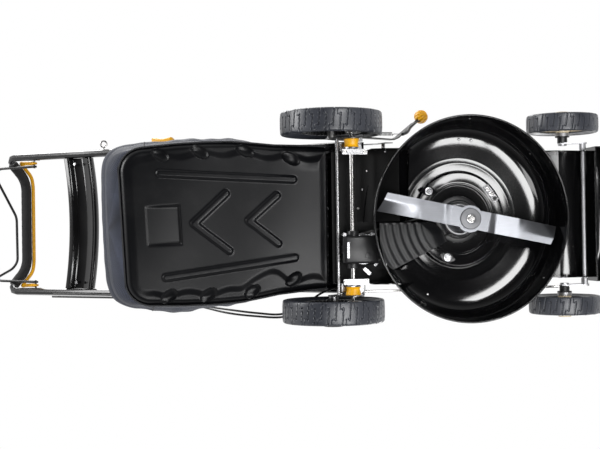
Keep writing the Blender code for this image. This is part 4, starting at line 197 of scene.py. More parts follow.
def moulded_group():
    """Moulded or painted skin: cloudy tone, fine grain, faint dust and a few light scratches."""
    w, take, give = new_group("moulded_skin", Colour=(0.02, 0.02, 0.02, 1), Dust_Colour=(0.2, 0.19, 0.18, 1),
                              Dust=0.1, Cloud_Scale=9.0, Tone=0.25, Grain_Scale=900.0, Grain_Depth=0.3,
                              Roughness=0.4, Roughness_Spread=0.12, Scratches=0.2)
    place = w.place()
    cloud = w.noise(place, take["Cloud Scale"], 4.0, 0.6)
    grain = w.noise(place, take["Grain Scale"], 2.0, 0.5)
    speck = w.ramp(w.noise(place, 260.0, 2.0, 0.7), 0.60, 0.72)
    patch = w.ramp(cloud, 0.45, 0.75)
    dust = w.times(w.plus(w.times(patch, 0.7), w.times(speck, 0.5)), take["Dust"], clamp=True)
    along = w.node("Mapping", Vector=place, Scale=(6.0, 90.0, 40.0)).outputs["Vector"]
    scratch = w.times(w.ramp(w.noise(along, 6.0, 6.0, 0.75), 0.66, 0.70), take["Scratches"])
    bright = w.plus(1.0, w.times(w.minus(cloud, 0.5), w.times(take["Tone"], 2.0)))
    rough = w.plus(take["Roughness"], w.times(w.minus(cloud, 0.5), take["Roughness Spread"]))
    cover = w.plus(dust, w.times(scratch, 0.35), clamp=True)
    w.put(give["Color"], w.blend(cover, w.toned(take["Colour"], bright), take["Dust Colour"]))
    w.put(give["Roughness"], w.plus(rough, w.times(w.plus(dust, scratch), 0.35), clamp=True))
    w.put(give["Height"], w.minus(w.times(grain, take["Grain Depth"]), w.times(scratch, 0.5)))
    return w.tree


def brushed_group():
    """Rolled or plated metal: fine lines along one direction, blotches and a little tarnish."""
    w, take, give = new_group("brushed_metal", Colour=(0.6, 0.6, 0.6, 1), Tarnish_Colour=(0.2, 0.18, 0.16, 1),
                              Line_Stretch=(20.0, 900.0, 900.0), Line_Depth=0.2, Blotch_Scale=30.0,
                              Tarnish=0.15, Roughness=0.3, Roughness_Spread=0.2)
    place = w.place()
    along = w.node("Mapping", Vector=place, Scale=take["Line Stretch"]).outputs["Vector"]
    lines = w.noise(along, 1.0, 3.0, 0.6)
    stain = w.times(w.ramp(w.noise(place, take["Blotch Scale"], 5.0, 0.65), 0.48, 0.72), take["Tarnish"],
                    clamp=True)
    lined = w.plus(0.92, w.times(w.minus(lines, 0.5), 0.25))
    rough = w.plus(take["Roughness"], w.times(w.minus(lines, 0.4), take["Roughness Spread"]))
    w.put(give["Color"], w.blend(stain, w.toned(take["Colour"], lined), take["Tarnish Colour"]))
    w.put(give["Roughness"], w.plus(rough, w.times(stain, 0.4), clamp=True))
    w.put(give["Height"], w.times(lines, take["Line Depth"]))
    return w.tree


def woven_group():
    """Plain coated weave on a UV map in metres: warp and weft cross over, shade and stand proud; the colour
    holds painted highlight and shade, each top thread light along its middle and dark at its edges, the other
    cells kept dark.
    """
    w, take, give = new_group("woven_cloth", Colour=(0.03, 0.03, 0.035, 1),
                              Thread_Colour=(0.09, 0.09, 0.11, 1), Threads_per_Metre=520.0,
                              Roughness=0.6, Depth=0.6)
    spot = w.node("SeparateXYZ", Vector=w.place("UV")).outputs
    across, along = (w.times(spot[axis], take["Threads per Metre"]) for axis in "XY")
    over = w.maths("MODULO", w.plus(w.maths("FLOOR", across), w.maths("FLOOR", along)), 2.0)
    over = w.maths("ABSOLUTE", over)
    warp, weft = (w.maths("ABSOLUTE", w.maths("SINE", w.times(run, math.pi))) for run in (across, along))
    thread = w.plus(w.times(over, warp), w.times(w.minus(1.0, over), weft))
    cloud = w.noise(w.place(), 14.0, 4.0, 0.6)
    # painted highlight and shade: the thread colour lights each top thread's middle, the ground colour shades
    # its edges and the cells between
    lit = w.times(w.times(thread, over), w.ramp(cloud, 0.3, 0.7, 0.5, 1.0), clamp=True)
    w.put(give["Color"], w.blend(lit, take["Colour"], take["Thread Colour"]))
    w.put(give["Roughness"], w.plus(take["Roughness"], w.times(cloud, 0.15), clamp=True))
    w.put(give["Height"], w.times(thread, take["Depth"]))
    return w.tree


MOULDED, BRUSHED, WOVEN = moulded_group(), brushed_group(), woven_group()
FINISHES = {}


def finish(name, group, bump_distance, metallic=0.0, specular=0.5, coat=0.0, sheen=0.0, **values):
    """Adds a material: one shader group feeds a Principled BSDF and a Bump node."""
    made = bpy.data.materials.new(name)
    made.use_nodes = True
    w = Wiring(made.node_tree)
    effect = w.tree.nodes.new("ShaderNodeGroup")
    effect.node_tree = group
    for key, value in values.items():
        socket = effect.inputs[key.replace("_", " ")]
        socket.default_value = (*value, 1.0) if socket.type == "RGBA" else value
    bump = w.node("Bump", Distance=bump_distance, Strength=1.0, Height=effect.outputs["Height"])
    settings = {"Metallic": metallic, "Specular IOR Level": specular, "Coat Weight": coat,
                "Coat Roughness": 0.08, "Sheen Weight": sheen, "Base Color": effect.outputs["Color"],
                "Roughness": effect.outputs["Roughness"], "Normal": bump.outputs["Normal"]}
    for key, value in settings.items():
        w.put(w.tree.nodes["Principled BSDF"].inputs[key], value)
    FINISHES[name] = made


def moulded(name, colour, roughness, bump_distance=0.1 * MM, **more):
    finish(name, MOULDED, bump_distance, Colour=colour, Roughness=roughness, **more)


def metal(name, colour, roughness, bump_distance=0.05 * MM, **more):
    finish(name, BRUSHED, bump_distance, 1.0, Colour=colour, Roughness=roughness, **more)


def woven(name, bump_distance, sheen, threads, colour, thread_colour):
    finish(name, WOVEN, bump_distance, specular=0.4, sheen=sheen, Colour=colour, Thread_Colour=thread_colour,
           Threads_per_Metre=threads)


moulded("deck_paint", (0.0022, 0.0022, 0.0026), 0.10, specular=0.45, coat=0.6, Dust=0.01, Tone=0.3,
        Grain_Scale=60.0, Grain_Depth=0.35, Scratches=0.03, Roughness_Spread=0.04)
moulded("black_plastic", (0.0125, 0.0125, 0.0135), 0.36, specular=0.45, Dust=0.04, Grain_Scale=1400.0,
        Grain_Depth=0.5, Roughness_Spread=0.08, Scratches=0.05)
moulded("baffle_black", (0.004, 0.004, 0.0042), 0.55, specular=0.16, Dust=0.01)
moulded("tray_plastic", (0.0040, 0.0042, 0.0052), 0.30, specular=0.27, Dust=0.03, Grain_Scale=1400.0,
        Grain_Depth=0.3, Roughness_Spread=0.06, Scratches=0.05)
moulded("gloss_plastic", (0.006, 0.006, 0.0065), 0.12, coat=0.4, Dust=0.02, Grain_Depth=0.05, Scratches=0.08)
moulded("tread_rubber", (0.027, 0.030, 0.039), 0.34, specular=0.75, Dust=0.14, Tone=0.5,
        Dust_Colour=(0.12, 0.125, 0.14), Grain_Scale=700.0, Grain_Depth=0.8)
moulded("cream_plastic", (0.70, 0.60, 0.43), 0.4, Dust=0.08, Dust_Colour=(0.25, 0.2, 0.14), Tone=0.12)
moulded("yellow_plastic", (0.94, 0.46, 0.006), 0.34, Dust=0.03, Dust_Colour=(0.45, 0.2, 0.03), Tone=0.12)
moulded("black_tube", (0.010, 0.010, 0.011), 0.22, coat=0.3, Dust=0.03, Grain_Depth=0.10, Scratches=0.12)
moulded("foam", (0.012, 0.012, 0.0125), 0.8, 0.4 * MM, Grain_Scale=420.0, Grain_Depth=1.5)
moulded("belt_rubber", (0.016, 0.016, 0.016), 0.7, Dust=0.2, Grain_Depth=0.8)
moulded("wire_black", (0.010, 0.010, 0.010), 0.32, Grain_Depth=0.2)
metal("zinc", (0.42, 0.42, 0.43), 0.24, Tarnish=0.25, Tarnish_Colour=(0.25, 0.22, 0.16))
metal("bright_steel", (0.60, 0.59, 0.58), 0.22, Line_Stretch=(900.0, 20.0, 900.0))
metal("blade_steel", (0.265, 0.272, 0.292), 0.30, Tarnish=0.35, Blotch_Scale=12.0, Line_Depth=0.08,
      Tarnish_Colour=(0.18, 0.18, 0.19), Line_Stretch=(25.0, 900.0, 900.0), Roughness_Spread=0.1)
metal("washer_steel", (0.17, 0.172, 0.18), 0.42, Tarnish=0.3, Blotch_Scale=20.0,
      Tarnish_Colour=(0.10, 0.10, 0.105), Line_Stretch=(60.0, 60.0, 60.0))
metal("dark_steel", (0.62, 0.62, 0.64), 0.42, Tarnish=0.4, Tarnish_Colour=(0.06, 0.055, 0.05))
metal("cast_aluminium", (0.46, 0.46, 0.47), 0.42, 0.2 * MM, Line_Stretch=(400.0, 400.0, 400.0),
      Line_Depth=1.0)
# each cloth's second colour is the painted highlight on its top threads, its first the painted shade between
# them
woven("bag_cloth", 0.25 * MM, 0.12, 300.0, (0.012, 0.014, 0.022), (0.098, 0.112, 0.165))
woven("hem_tape", 0.2 * MM, 0.1, 700.0, (0.008, 0.0085, 0.010), (0.06, 0.062, 0.07))


# Forms: a form is (points, quads), both arrays

def grid_form(points, wrap_rows=False, wrap_columns=False):
    """A skin over a grid of points: each four neighbours make one face."""
    rows, columns, _ = points.shape
    i, j = np.meshgrid(np.arange(rows if wrap_rows else rows - 1),
                       np.arange(columns if wrap_columns else columns - 1), indexing="ij")
    i, j = i.ravel(), j.ravel()
    i2, j2 = (i + 1) % rows, (j + 1) % columns
    quads = np.stack([i * columns + j, i2 * columns + j, i2 * columns + j2, i * columns + j2], 1)
    return points.reshape(-1, 3), quads


def joined(*forms):
    """Several forms as one."""
    starts = np.cumsum([0] + [len(points) for points, _ in forms[:-1]])
    return (np.concatenate([points for points, _ in forms]),
            np.concatenate([quads + start for (_, quads), start in zip(forms, starts)]))


def unit(vectors):
    return vectors / np.maximum(np.linalg.norm(vectors, axis=-1, keepdims=True), 1e-12)


def rounded(points, radius, steps, closed=False):
    """A line through points whose corners become short quadratic bends, radius long on each side."""
    p = np.asarray(points, float)
    back, ahead = p - np.roll(p, 1, 0), np.roll(p, -1, 0) - p
    room = np.minimum(np.linalg.norm(back, axis=1), np.linalg.norm(ahead, axis=1))
    reach = np.minimum(radius, 0.48 * room)[:, None]
    first, last = p - unit(back) * reach, p + unit(ahead) * reach
    t = np.linspace(0, 1, steps + 1)[None, :, None]
    bends = (1 - t) ** 2 * first[:, None] + 2 * t * (1 - t) * p[:, None] + t ** 2 * last[:, None]
    if closed:
        return bends.reshape(-1, p.shape[1])
    return np.concatenate([p[:1], bends[1:-1].reshape(-1, p.shape[1]), p[-1:]])


def resampled(points, count):
    """The same line with count points at equal steps along it."""
    p = np.asarray(points, float)
    run = np.concatenate([[0], np.cumsum(np.linalg.norm(np.diff(p, axis=0), axis=1))])
    at = np.linspace(0, run[-1], count)
    return np.stack([np.interp(at, run, p[:, k]) for k in range(p.shape[1])], 1)


def frame_of(axis):
    """Two unit vectors square to an axis and to each other."""
    axis = unit(np.asarray(axis, float))
    guide = np.array([0.0, 0.0, 1.0]) if abs(axis[2]) < 0.9 else np.array([1.0, 0.0, 0.0])
    side = unit(np.cross(guide, axis))
    return side, np.cross(axis, side), axis


def turned(profile, centre, axis=(0, 0, 1), sides=64, closed=True):
    """A profile of (radius, height) carried round an axis; a closed profile makes a closed ring."""
    profile = np.asarray(profile, float)
    side, up, axis = frame_of(axis)
    angle = (np.arange(sides) / sides * TAU)[:, None, None]
    around = np.cos(angle) * side + np.sin(angle) * up
    points = np.asarray(centre, float) + around * profile[None, :, :1] + axis * profile[None, :, 1:]
    return grid_form(points, wrap_rows=True, wrap_columns=closed)


def capped(rings):
    """The rings of a tube, each end drawn together at its own middle."""
    ends = np.repeat(rings[[0, -1]].mean(1, keepdims=True), rings.shape[1], 1)
    return np.concatenate([ends[:1], rings, ends[1:]])


def ring(radius, count):
    """A circle's points as (side, up) pairs."""
    angle = np.arange(count) / count * TAU
    return np.stack([np.cos(angle), np.sin(angle)], 1) * radius


def rod(path, radius, sides, up=(0, 0, 1), scale=None):
    """A round bar: a circle, scaled at each step, carried square to a path; its ends close to a point."""
    path = np.asarray(path, float)
    tangent = unit(np.gradient(path, axis=0))
    side = unit(np.cross(tangent, np.asarray(up, float)))
    top = np.cross(side, tangent)
    reach = ring(radius, sides)[None]
    if scale is not None:
        reach = reach * np.asarray(scale, float)[:, None, None]
    points = path[:, None] + side[:, None] * reach[..., :1] + top[:, None] * reach[..., 1:]
    return grid_form(capped(points), wrap_columns=True)


def smooth_line(points, count):
    """Points of one Catmull-Rom curve through the given ones, at equal shares of its spans."""
    p = np.asarray(points, float)
    ends = np.concatenate([[2 * p[0] - p[1]], p, [2 * p[-1] - p[-2]]])
    place = np.linspace(0, len(p) - 1, count)
    k = np.minimum(place.astype(int), len(p) - 2)
    t = (place - k)[:, None]
    a, b, c, d = (ends[k + step] for step in range(4))
    square, cube = 2 * a - 5 * b + 4 * c - d, 3 * b - a - 3 * c + d
    return 0.5 * (2 * b + (c - a) * t + square * t ** 2 + cube * t ** 3)


def on_upper(x, lift=0.0, y=UPPER_Y):
    """A point on an upper handle tube's middle line at an x, moved square to the tube by lift."""
    x, lift, y = np.broadcast_arrays(np.asarray(x, float), lift, y)
    z = FOLD_Z + (FOLD_X - x) * math.tan(UPPER_SLOPE)
    return np.stack([x + lift * math.sin(UPPER_SLOPE), y, z + lift * math.cos(UPPER_SLOPE)], -1)


def extruded(outline, low, high, plane="XZ", bevel=0.0):
    """A flat outline with a thickness: its rings at low and high, closed by rings drawn to its middle."""
    outline = np.asarray(outline, float)
    centre = outline.mean(0)
    steps = [(0.0, low), (1.0, low), (1.0, high), (0.0, high)]
    if bevel:
        shrink = 1 - bevel / np.abs(outline - centre).max()
        steps = [(0.0, low), (shrink, low), (1.0, low + bevel), (1.0, high - bevel), (shrink, high),
                 (0.0, high)]
    rings = []
    for share, height in steps:
        first, second = (centre + (outline - centre) * share).T
        level = np.full(len(outline), height)
        rings.append(np.stack([first, level, second] if plane == "XZ" else [first, second, level], 1))
    return grid_form(np.stack(rings), wrap_columns=True)


def hex_bolt(centre, axis, across, height, washer=None):
    """A hexagon head with a chamfered top on its washer; axis points away from the seat."""
    flat = across / math.sqrt(3)
    washer = washer or across * 0.62
    thin = across * 0.12
    top = height + 0.4 * MM
    head = [(0, thin), (flat, thin), (flat, height * 0.8), (flat * 0.82, height), (0, height)]
    dimple = [(flat * 0.45, height), (flat * 0.40, top), (0, top)]
    disc = rounded([(0.0, 0), (washer, 0), (washer, thin), (0.0, thin)], thin * 0.4, 2)
    return joined(*(turned(line, centre, axis, sides, closed=False)
                    for line, sides in ((head, 6), (dimple, 18), (disc, 24))))


def to_object(name, form, merge=True, closed=True):
    """The form as a mesh object, in the frame's place, with its doubles merged and faces outward."""
    points, quads = form
    mesh = bpy.data.meshes.new(name)
    mesh.vertices.add(len(points))
    mesh.vertices.foreach_set("co", (points + SHIFT).astype(np.float32).ravel())
    mesh.loops.add(quads.size)
    mesh.loops.foreach_set("vertex_index", quads.astype(np.int32).ravel())
    mesh.polygons.add(len(quads))
    mesh.polygons.foreach_set("loop_start", np.arange(0, quads.size, 4, dtype=np.int32))
    mesh.update(calc_edges=True)
    if merge:
        shape = bmesh.new()
        shape.from_mesh(mesh)
        bmesh.ops.remove_doubles(shape, verts=shape.verts, dist=0.002 * MM)
        if closed:
            bmesh.ops.recalc_face_normals(shape, faces=shape.faces)
        shape.to_mesh(mesh)
        shape.free()
    mesh.validate()
    made = bpy.data.objects.new(name, mesh)
    bpy.context.scene.collection.objects.link(made)
    return made


def give_wall(made, thickness, offset=0.0):
    """A thickness for an open skin."""
    wall = made.modifiers.new("wall", "SOLIDIFY")
    wall.thickness = thickness
    wall.offset = offset


def dress(made, slot, body, replaces=(), smooth=35.0):
    """Gives a piece its finish, its smooth shading, its body and the CAD nodes it stands for."""
    made.data.materials.clear()
    made.data.materials.append(FINISHES[slot])
    made.data.shade_smooth()
    made.data.set_sharp_from_angle(angle=math.radians(smooth))
    if body:
        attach(made, body)
    if replaces:
        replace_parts(made, *replaces)
    return made


def piece(name, form, slot, body, replaces=(), smooth=35.0):
    return dress(to_object(name, form), slot, body, replaces, smooth)


def lay_uv(made, uv):
    """Gives each vertex of a mesh its place in metres on a flat pattern."""
    mesh = made.data
    corner = np.empty(len(mesh.loops), np.int32)
    mesh.loops.foreach_get("vertex_index", corner)
    layer = mesh.uv_layers.new(name="metres")
    layer.data.foreach_set("uv", np.asarray(uv, np.float32).reshape(-1, 2)[corner].ravel())


NODE_BODY = {name: body for body, names in frame["record"]["behaviour"]["bodies"].items() for name in names}
NODE_SLOT = {name: made.data.materials[0].name.split(".")[0] for name, made in frame["nodes"].items()}


def softened(name, slot=None, without=None):
    """A CAD node's copy with its corners merged, flat faces joined, and its edges slightly round;
    without is a form that is taken off it first."""
    shape = bmesh.new()
    shape.from_mesh(frame["nodes"][name].data)
    bmesh.ops.remove_doubles(shape, verts=shape.verts, dist=0.002 * MM)
    bmesh.ops.dissolve_limit(shape, angle_limit=math.radians(0.6), verts=shape.verts, edges=shape.edges)
    mesh = bpy.data.meshes.new(name + "_finished")
    shape.to_mesh(mesh)
    shape.free()
    made = bpy.data.objects.new(name + "_finished", mesh)
    bpy.context.scene.collection.objects.link(made)
    if without is not None:
        cut_away(made, without)
    dress(made, slot or NODE_SLOT[name], NODE_BODY[name], (name,))
    edges = made.modifiers.new("round_edges", "BEVEL")
    edges.width = 0.5 * MM
    edges.segments = 2
    edges.limit_method = "ANGLE"
    edges.angle_limit = math.radians(28.0)
    edges.harden_normals = True
    return made


# Camera, lights and floor

# The photograph's camera, from the blade's middle: lens in pixels, turn as a vector, and shift
FRAME_WIDTH_PX = 600
FOCAL_PX = 1106.3
CAMERA_TURN_DEG = (-0.47055996, -8.63114312, -0.7632601)
CAMERA_SHIFT = (0.42389673, -0.01439352, 2.6666494)

# How strongly the surroundings light the mower
SKY_STRENGTH = 0.34


def stand(name, data, at, side, up, back):
    """A camera or lamp at a point, its own X, Y and Z along side, up and back."""
    made = bpy.data.objects.new(name, data)
    bpy.context.scene.collection.objects.link(made)
    turn = Matrix(np.stack([side, up, back], 1).tolist()).to_4x4()
    made.matrix_world = Matrix.Translation(tuple(at)) @ turn
    return made


def make_camera():
    """The photograph's view: x to the image's right, y down it and z into it."""
    turn = np.radians(CAMERA_TURN_DEG)
    angle = np.linalg.norm(turn)
    rows = np.array(Matrix.Rotation(angle, 3, tuple(turn / angle)))
    data = bpy.data.cameras.new("photo_camera")
    data.sensor_width = 36.0
    data.lens = FOCAL_PX / FRAME_WIDTH_PX * data.sensor_width
    data.clip_start = 0.05
    data.clip_end = 50.0
    at = SHIFT + (0, AXLE_Y, 0) - rows.T @ np.array(CAMERA_SHIFT)
    bpy.context.scene.camera = stand("photo_camera", data, at, rows[0], -rows[1], -rows[2])


def area_lamp(name, at, toward, length, power, width=None, along=None):
    """A soft lamp at a point that faces another; along is the way of its length."""
    data = bpy.data.lights.new(name, "AREA")
    data.energy = power
    data.size = length
    if width:
        data.shape = "RECTANGLE"
        data.size_y = width
    side, up, axis = frame_of(np.asarray(at, float) - np.asarray(toward, float))
    if along is not None:
        side = unit(np.asarray(along, float) - axis * np.dot(along, axis))
        up = np.cross(axis, side)
    stand(name, data, np.asarray(at) + SHIFT, side, up, axis)


def make_sky():
    """White where the camera or glass looks, graded from dark below to bright for reflections, and
    dim for light."""
    bpy.context.scene.view_settings.view_transform = "Standard"
    world = bpy.data.worlds.new("studio")
    bpy.context.scene.world = world
    world.use_nodes = True
    w = Wiring(world.node_tree)
    w.tree.nodes.clear()
    rays = w.node("LightPath").outputs
    seen = w.maths("MAXIMUM", rays["Is Camera Ray"], rays["Is Transmission Ray"])
    heading = w.node("SeparateXYZ", Vector=w.place("Generated")).outputs["Z"]
    bright = w.ramp(heading, -0.85, 0.30, 0.02, 0.95)
    lift = w.times(rays["Is Glossy Ray"], w.minus(bright, SKY_STRENGTH))
    strength = w.maths("MAXIMUM", seen, w.plus(SKY_STRENGTH, lift))
    sky = w.node("Background", Color=(1, 1, 1, 1), Strength=strength)
    w.node("OutputWorld", Surface=sky.outputs[0])


def make_floor():
    """A pale floor that shows only from above."""
    corners = np.array([[(x, y, 0.0) for y in (-4.0, 4.0)] for x in (-4.0, 4.0)])
    floor = to_object("floor", grid_form(corners), merge=False)
    pale = bpy.data.materials.new("pale_floor")
    pale.use_nodes = True
    w = Wiring(pale.node_tree)
    skin = w.tree.nodes["Principled BSDF"]
    w.put(skin.inputs["Roughness"], 0.7)
    mottle = w.noise(w.place(), 3.0, 4.0)
    w.put(skin.inputs["Base Color"], w.blend(mottle, (0.80, 0.80, 0.80, 1), (0.84, 0.84, 0.84, 1)))
    front = w.minus(1.0, w.node("NewGeometry").outputs["Backfacing"])
    shown = w.times(front, w.node("LightPath").outputs["Is Camera Ray"])
    mixed = w.node("MixShader")
    for socket, value in zip(mixed.inputs, (shown, w.node("BsdfTransparent").outputs[0], skin.outputs[0])):
        w.put(socket, value)
    w.put(w.tree.nodes["Material Output"].inputs["Surface"], mixed.outputs[0])
    floor.data.materials.append(pale)


def make_lamps():
    """Lamps with their place, aim, length, power, width and the way of the length."""
    for lamp in (
            ("soft_box_near_left", (-0.09, 0.53, -1.95), (-0.09, 0.53, 0), 1.0, 14.0, 0.32, (0.62, 0.78, 0)),
            ("soft_box_far_left", (0.70, 0.92, -1.95), (0.70, 0.92, 0), 0.75, 11.3, 0.34, (1, 0.05, 0)),
            ("soft_box_middle", (0.55, 0.30, -1.95), (0.55, 0.30, 0), 0.80, 7.7, 0.22, (0.95, 0.30, 0)),
            ("soft_box_right", (0.16, -0.80, -1.95), (0.16, -0.80, 0), 1.15, 17.7, 0.35, (0.79, -0.61, 0)),
            ("soft_strip_front", (1.06, -0.02, -1.95), (1.06, -0.02, 0), 0.70, 2.6, 0.13, (0, 1, 0)),
            ("soft_box_rear", (-0.85, 0.68, -2.10), (-0.70, 0, 0.10), 0.80, 7.0, 0.55, (1, 0, 0)),
            ("lamp_behind", (-2.7, -0.8, 0.30), (-0.6, 0, 0.25), 1.3, 30, 0.8),
            ("lamp_above_left", (-1.2, -2.2, 2.6), (0.1, 0, 0.3), 1.8, 60),
            ("lamp_above_right", (1.8, 2.0, 2.4), (0.1, 0, 0.3), 1.8, 40)):
        area_lamp(*lamp)


# Wheels

def smoothstep(value, low, high):
    t = np.clip((value - low) / (high - low), 0, 1)
    return t * t * (3 - 2 * t)


def groove(distance, half_width, soft=0.0007):
    """1 inside a groove of that half width, falling to 0 over a soft edge."""
    return 1 - smoothstep(np.abs(distance), half_width - soft, half_width + soft)


def tread_depth(around, across, radius, slant, pitches):
    """Depth of the tread's grooves: long ones from each edge in turn, hooked, with short cuts between."""
    length = TAU * radius / pitches
    along = (around * pitches / TAU + slant * across) % 1.0 * length
    depth = np.zeros(np.broadcast(along, across).shape)
    for start, sign in ((0.25, 1), (0.75, -1)):
        long_cut = groove(along - start * length, 1.5 * MM) * smoothstep(sign * across, -0.66, -0.56)
        hook = groove((sign * across + 0.50) * 24 * MM, 1.2 * MM)
        hook = hook * groove(along - (start - 0.07) * length, 0.075 * length)
        short = groove(along - (start + 0.25) % 1.0 * length, 0.8 * MM, 0.0006)
        short = 0.7 * short * smoothstep(sign * across, 0.42, 0.50)
        depth = np.maximum.reduce([depth, long_cut, hook, short])
    return depth


def tyre_form(centre, radius, width, slant, pitches, sides):
    """A tyre's section carried round the wheel, its tread cut by grooves in the radius."""
    half = width / 2
    bore = radius - RIM_BELOW_TYRE
    crown = np.linspace(-1, 1, 44)
    crown_half = half * 0.86
    crown_line = np.stack([radius - 1.2 * MM * np.abs(crown) ** 3, crown * crown_half], 1)
    side = [(radius - 3.2 * MM, 0.955), (radius - 7 * MM, 1.0), (radius - 11 * MM, 0.985),
            (radius - 12 * MM, 0.90), (bore + 7 * MM, 0.86), (bore + 4.5 * MM, 0.78), (bore + 1.5 * MM, 0.76),
            (bore, 0.66)]
    right = rounded([(r, h * half) for r, h in side], 1.2 * MM, 2)
    inner = np.array([(bore, 0.3 * half), (bore, -0.3 * half)])
    section = np.concatenate([crown_line, right, inner, right[::-1] * (1, -1)])
    reach, across = section[None, :, 0], section[None, :, 1]
    angle = (np.arange(sides) / sides * TAU)[:, None]
    cut = tread_depth(angle, across / crown_half, radius, slant, pitches)
    reach = reach - 3.2 * MM * cut * smoothstep(reach, radius - 8.5 * MM, radius - 6 * MM)
    x, z = centre[0] + reach * np.cos(angle), centre[2] + reach * np.sin(angle)
    y = np.broadcast_to(centre[1] + across, x.shape)
    return grid_form(np.stack([x, y, z], -1), wrap_rows=True, wrap_columns=True)


def make_tyres():
    """The four tyres; each size row ends with the grooves' slant, their pitches and the sides."""
    for end, *sizes in (("rear", REAR_RADIUS, REAR_WIDTH, 0.06, 23, 782),
                        ("front", FRONT_RADIUS, FRONT_WIDTH, 0.10, 18, 612)):
        for side in ("left", "right"):
            node_name = f"{end}_tyre_{side}"
            piece(f"{end}_tread_{side}", tyre_form(wheel_centre(node_name), *sizes), "tread_rubber",
                  f"{end}_wheel_{side}", (node_name,), smooth=40)


# Deck

def sheet_line():
    """The pressed sheet's lower face as (radius, height), from its rim to the engine's hole."""
    r = DECK_HALF_WIDTH
    line = [(r, RIM_Z), (r - 0.003, RIM_Z + 0.009), (r - 0.011, 0.104), (r - 0.018, 0.120),
            (r - 0.034, 0.131), (0.152, 0.146), (0.146, ROOF_Z), (0.114, ROOF_Z), (0.108, 0.144),
            (0.092, 0.144), (0.086, ROOF_Z - 0.002), (ENGINE_HOLE, ROOF_Z - 0.002)]
    return rounded(line, 4 * MM, 4)


def shoulder_line():
    """The painted face's shoulder: steep at the wall, nearly flat where the rings begin."""
    return smooth_line([(0.2405, 0.0957), (0.2365, 0.1080), (0.2290, 0.1187), (0.2195, 0.1256),
                        (0.2100, 0.1298), (0.2000, 0.1330), (0.1880, 0.1362), (0.1715, 0.1399),
                        (0.1550, 0.1435)], 48)


def chamber_line():
    """The painted face: a wall, a shoulder that grows flatter inward, and two shallow cone rings."""
    r = DECK_HALF_WIDTH - 0.0008
    wall = [(r, RIM_Z), (r - 0.003, RIM_Z + 0.009), (r - 0.0100, 0.085)]
    bend = shoulder_line()
    rings = rounded([(0.1545, 0.1436), (0.1425, 0.1446), (0.1235, 0.1480), (0.1215, 0.1464), (0.1200, 0.1460),
                     (0.1180, 0.1386), (0.0940, 0.1430), (0.0890, 0.1432), (0.0865, 0.1470),
                     (ENGINE_HOLE, 0.1472)], 1.6 * MM, 4)
    return np.concatenate([wall, bend, rings])


def chamber_forms():
    """The oval chamber and its round rim bead: outlines turned about Z and squeezed along X."""
    sheet = sheet_line()
    way = unit(np.gradient(sheet, axis=0))
    outward = np.stack([way[:, 1], -way[:, 0]], 1)
    section = np.concatenate([chamber_line(), (sheet + outward * (SHEET + 0.8 * MM))[::-1]])
    bead = ring(2.4 * MM, 10) + (DECK_HALF_WIDTH + 0.8 * MM, RIM_Z + 0.6 * MM)
    forms = [turned(outline, (0, 0, 0), (0, 0, 1), 288) for outline in (section, bead)]
    return [(points * (DECK_HALF_LENGTH / DECK_HALF_WIDTH, 1, 1) + (0, AXLE_Y, 0), quads)
            for points, quads in forms]


def cut_away(target, cutter_form):
    """Takes a form out of a piece, with an exact Boolean applied to the mesh."""
    cutter = to_object("cutter", cutter_form)
    step = target.modifiers.new("cut", "BOOLEAN")
    step.operation = "DIFFERENCE"
    step.solver = "EXACT"
    step.use_self = False
    step.object = cutter
    bpy.context.view_layer.update()
    graph = bpy.context.evaluated_depsgraph_get()
    mesh = bpy.data.meshes.new_from_object(target.evaluated_get(graph), depsgraph=graph)
    target.modifiers.clear()
    target.data = mesh
    bpy.data.objects.remove(cutter)


def front_room():
    """The room inside the chamber's front half: the shoulder's line carried from one side to the other."""
    line = shoulder_line() + (0, 0.3 * MM)
    outline = np.concatenate([[(0.0, line[0, 1])], line, [(0.0, line[-1, 1])]])
    angle = np.radians(np.linspace(-68, 68, 90))[:, None]
    x = outline[:, 0] * np.cos(angle) * DECK_HALF_LENGTH / DECK_HALF_WIDTH
    y = outline[:, 0] * np.sin(angle) + AXLE_Y
    return grid_form(capped(np.stack([x, y, np.broadcast_to(outline[:, 1], x.shape)], -1)), wrap_columns=True)


def ramp_z(x):
    """Height of the grass tunnel's ramp along X."""
    return np.interp(x, [TUNNEL_END_X, -0.258, -0.236, -0.212, -0.170], [0.168, 0.166, 0.144, 0.106, 0.074])


def chamber_z(x, y):
    """Height of the chamber's inner face over a point, from its line and the distance to the axis."""
    r = np.hypot(np.asarray(x) * DECK_HALF_WIDTH / DECK_HALF_LENGTH, np.asarray(y) - AXLE_Y)
    line = chamber_line()[::-1]
    return np.interp(r, line[:, 0], line[:, 1])


def make_chamber():
    """The pressed chamber in fine steps round the plain one, with its openings to tunnel and belt."""
    shell, bead = chamber_forms()
    piece("rim_bead", bead, "deck_paint", "chassis", smooth=60)
    bowl = to_object("chamber_skin", shell)
    inlet = [(-0.126, 0.060), (-0.130, 0.1478), (-0.140, 0.160), (-0.262, 0.175), (-0.262, 0.165),
             (-0.236, 0.141), (-0.212, 0.103), (-0.170, 0.071), (-0.165, 0.060)]
    cut_away(bowl, extruded(inlet, -0.1646, 0.0123))
    slot = [(-0.255, 0.0835), (-0.136, 0.0835), (-0.136, 0.1545), (-0.255, 0.1545)]
    cut_away(bowl, extruded(slot, 0.0135, 0.134))
    dress(bowl, "deck_paint", "chassis", smooth=50)


def upright_pin(x, y, low, high, radius, sides):
    """A round pin between two heights."""
    return turned([(0, low), (radius, low), (radius, high), (0, high)], (x, y, 0), sides=sides, closed=False)


def screw(name, at, across, height, washer, slot="zinc", body="chassis"):
    """A hexagon screw whose head points down."""
    piece(name, hex_bolt(at, (0, 0, -1), across, height, washer), slot, body)


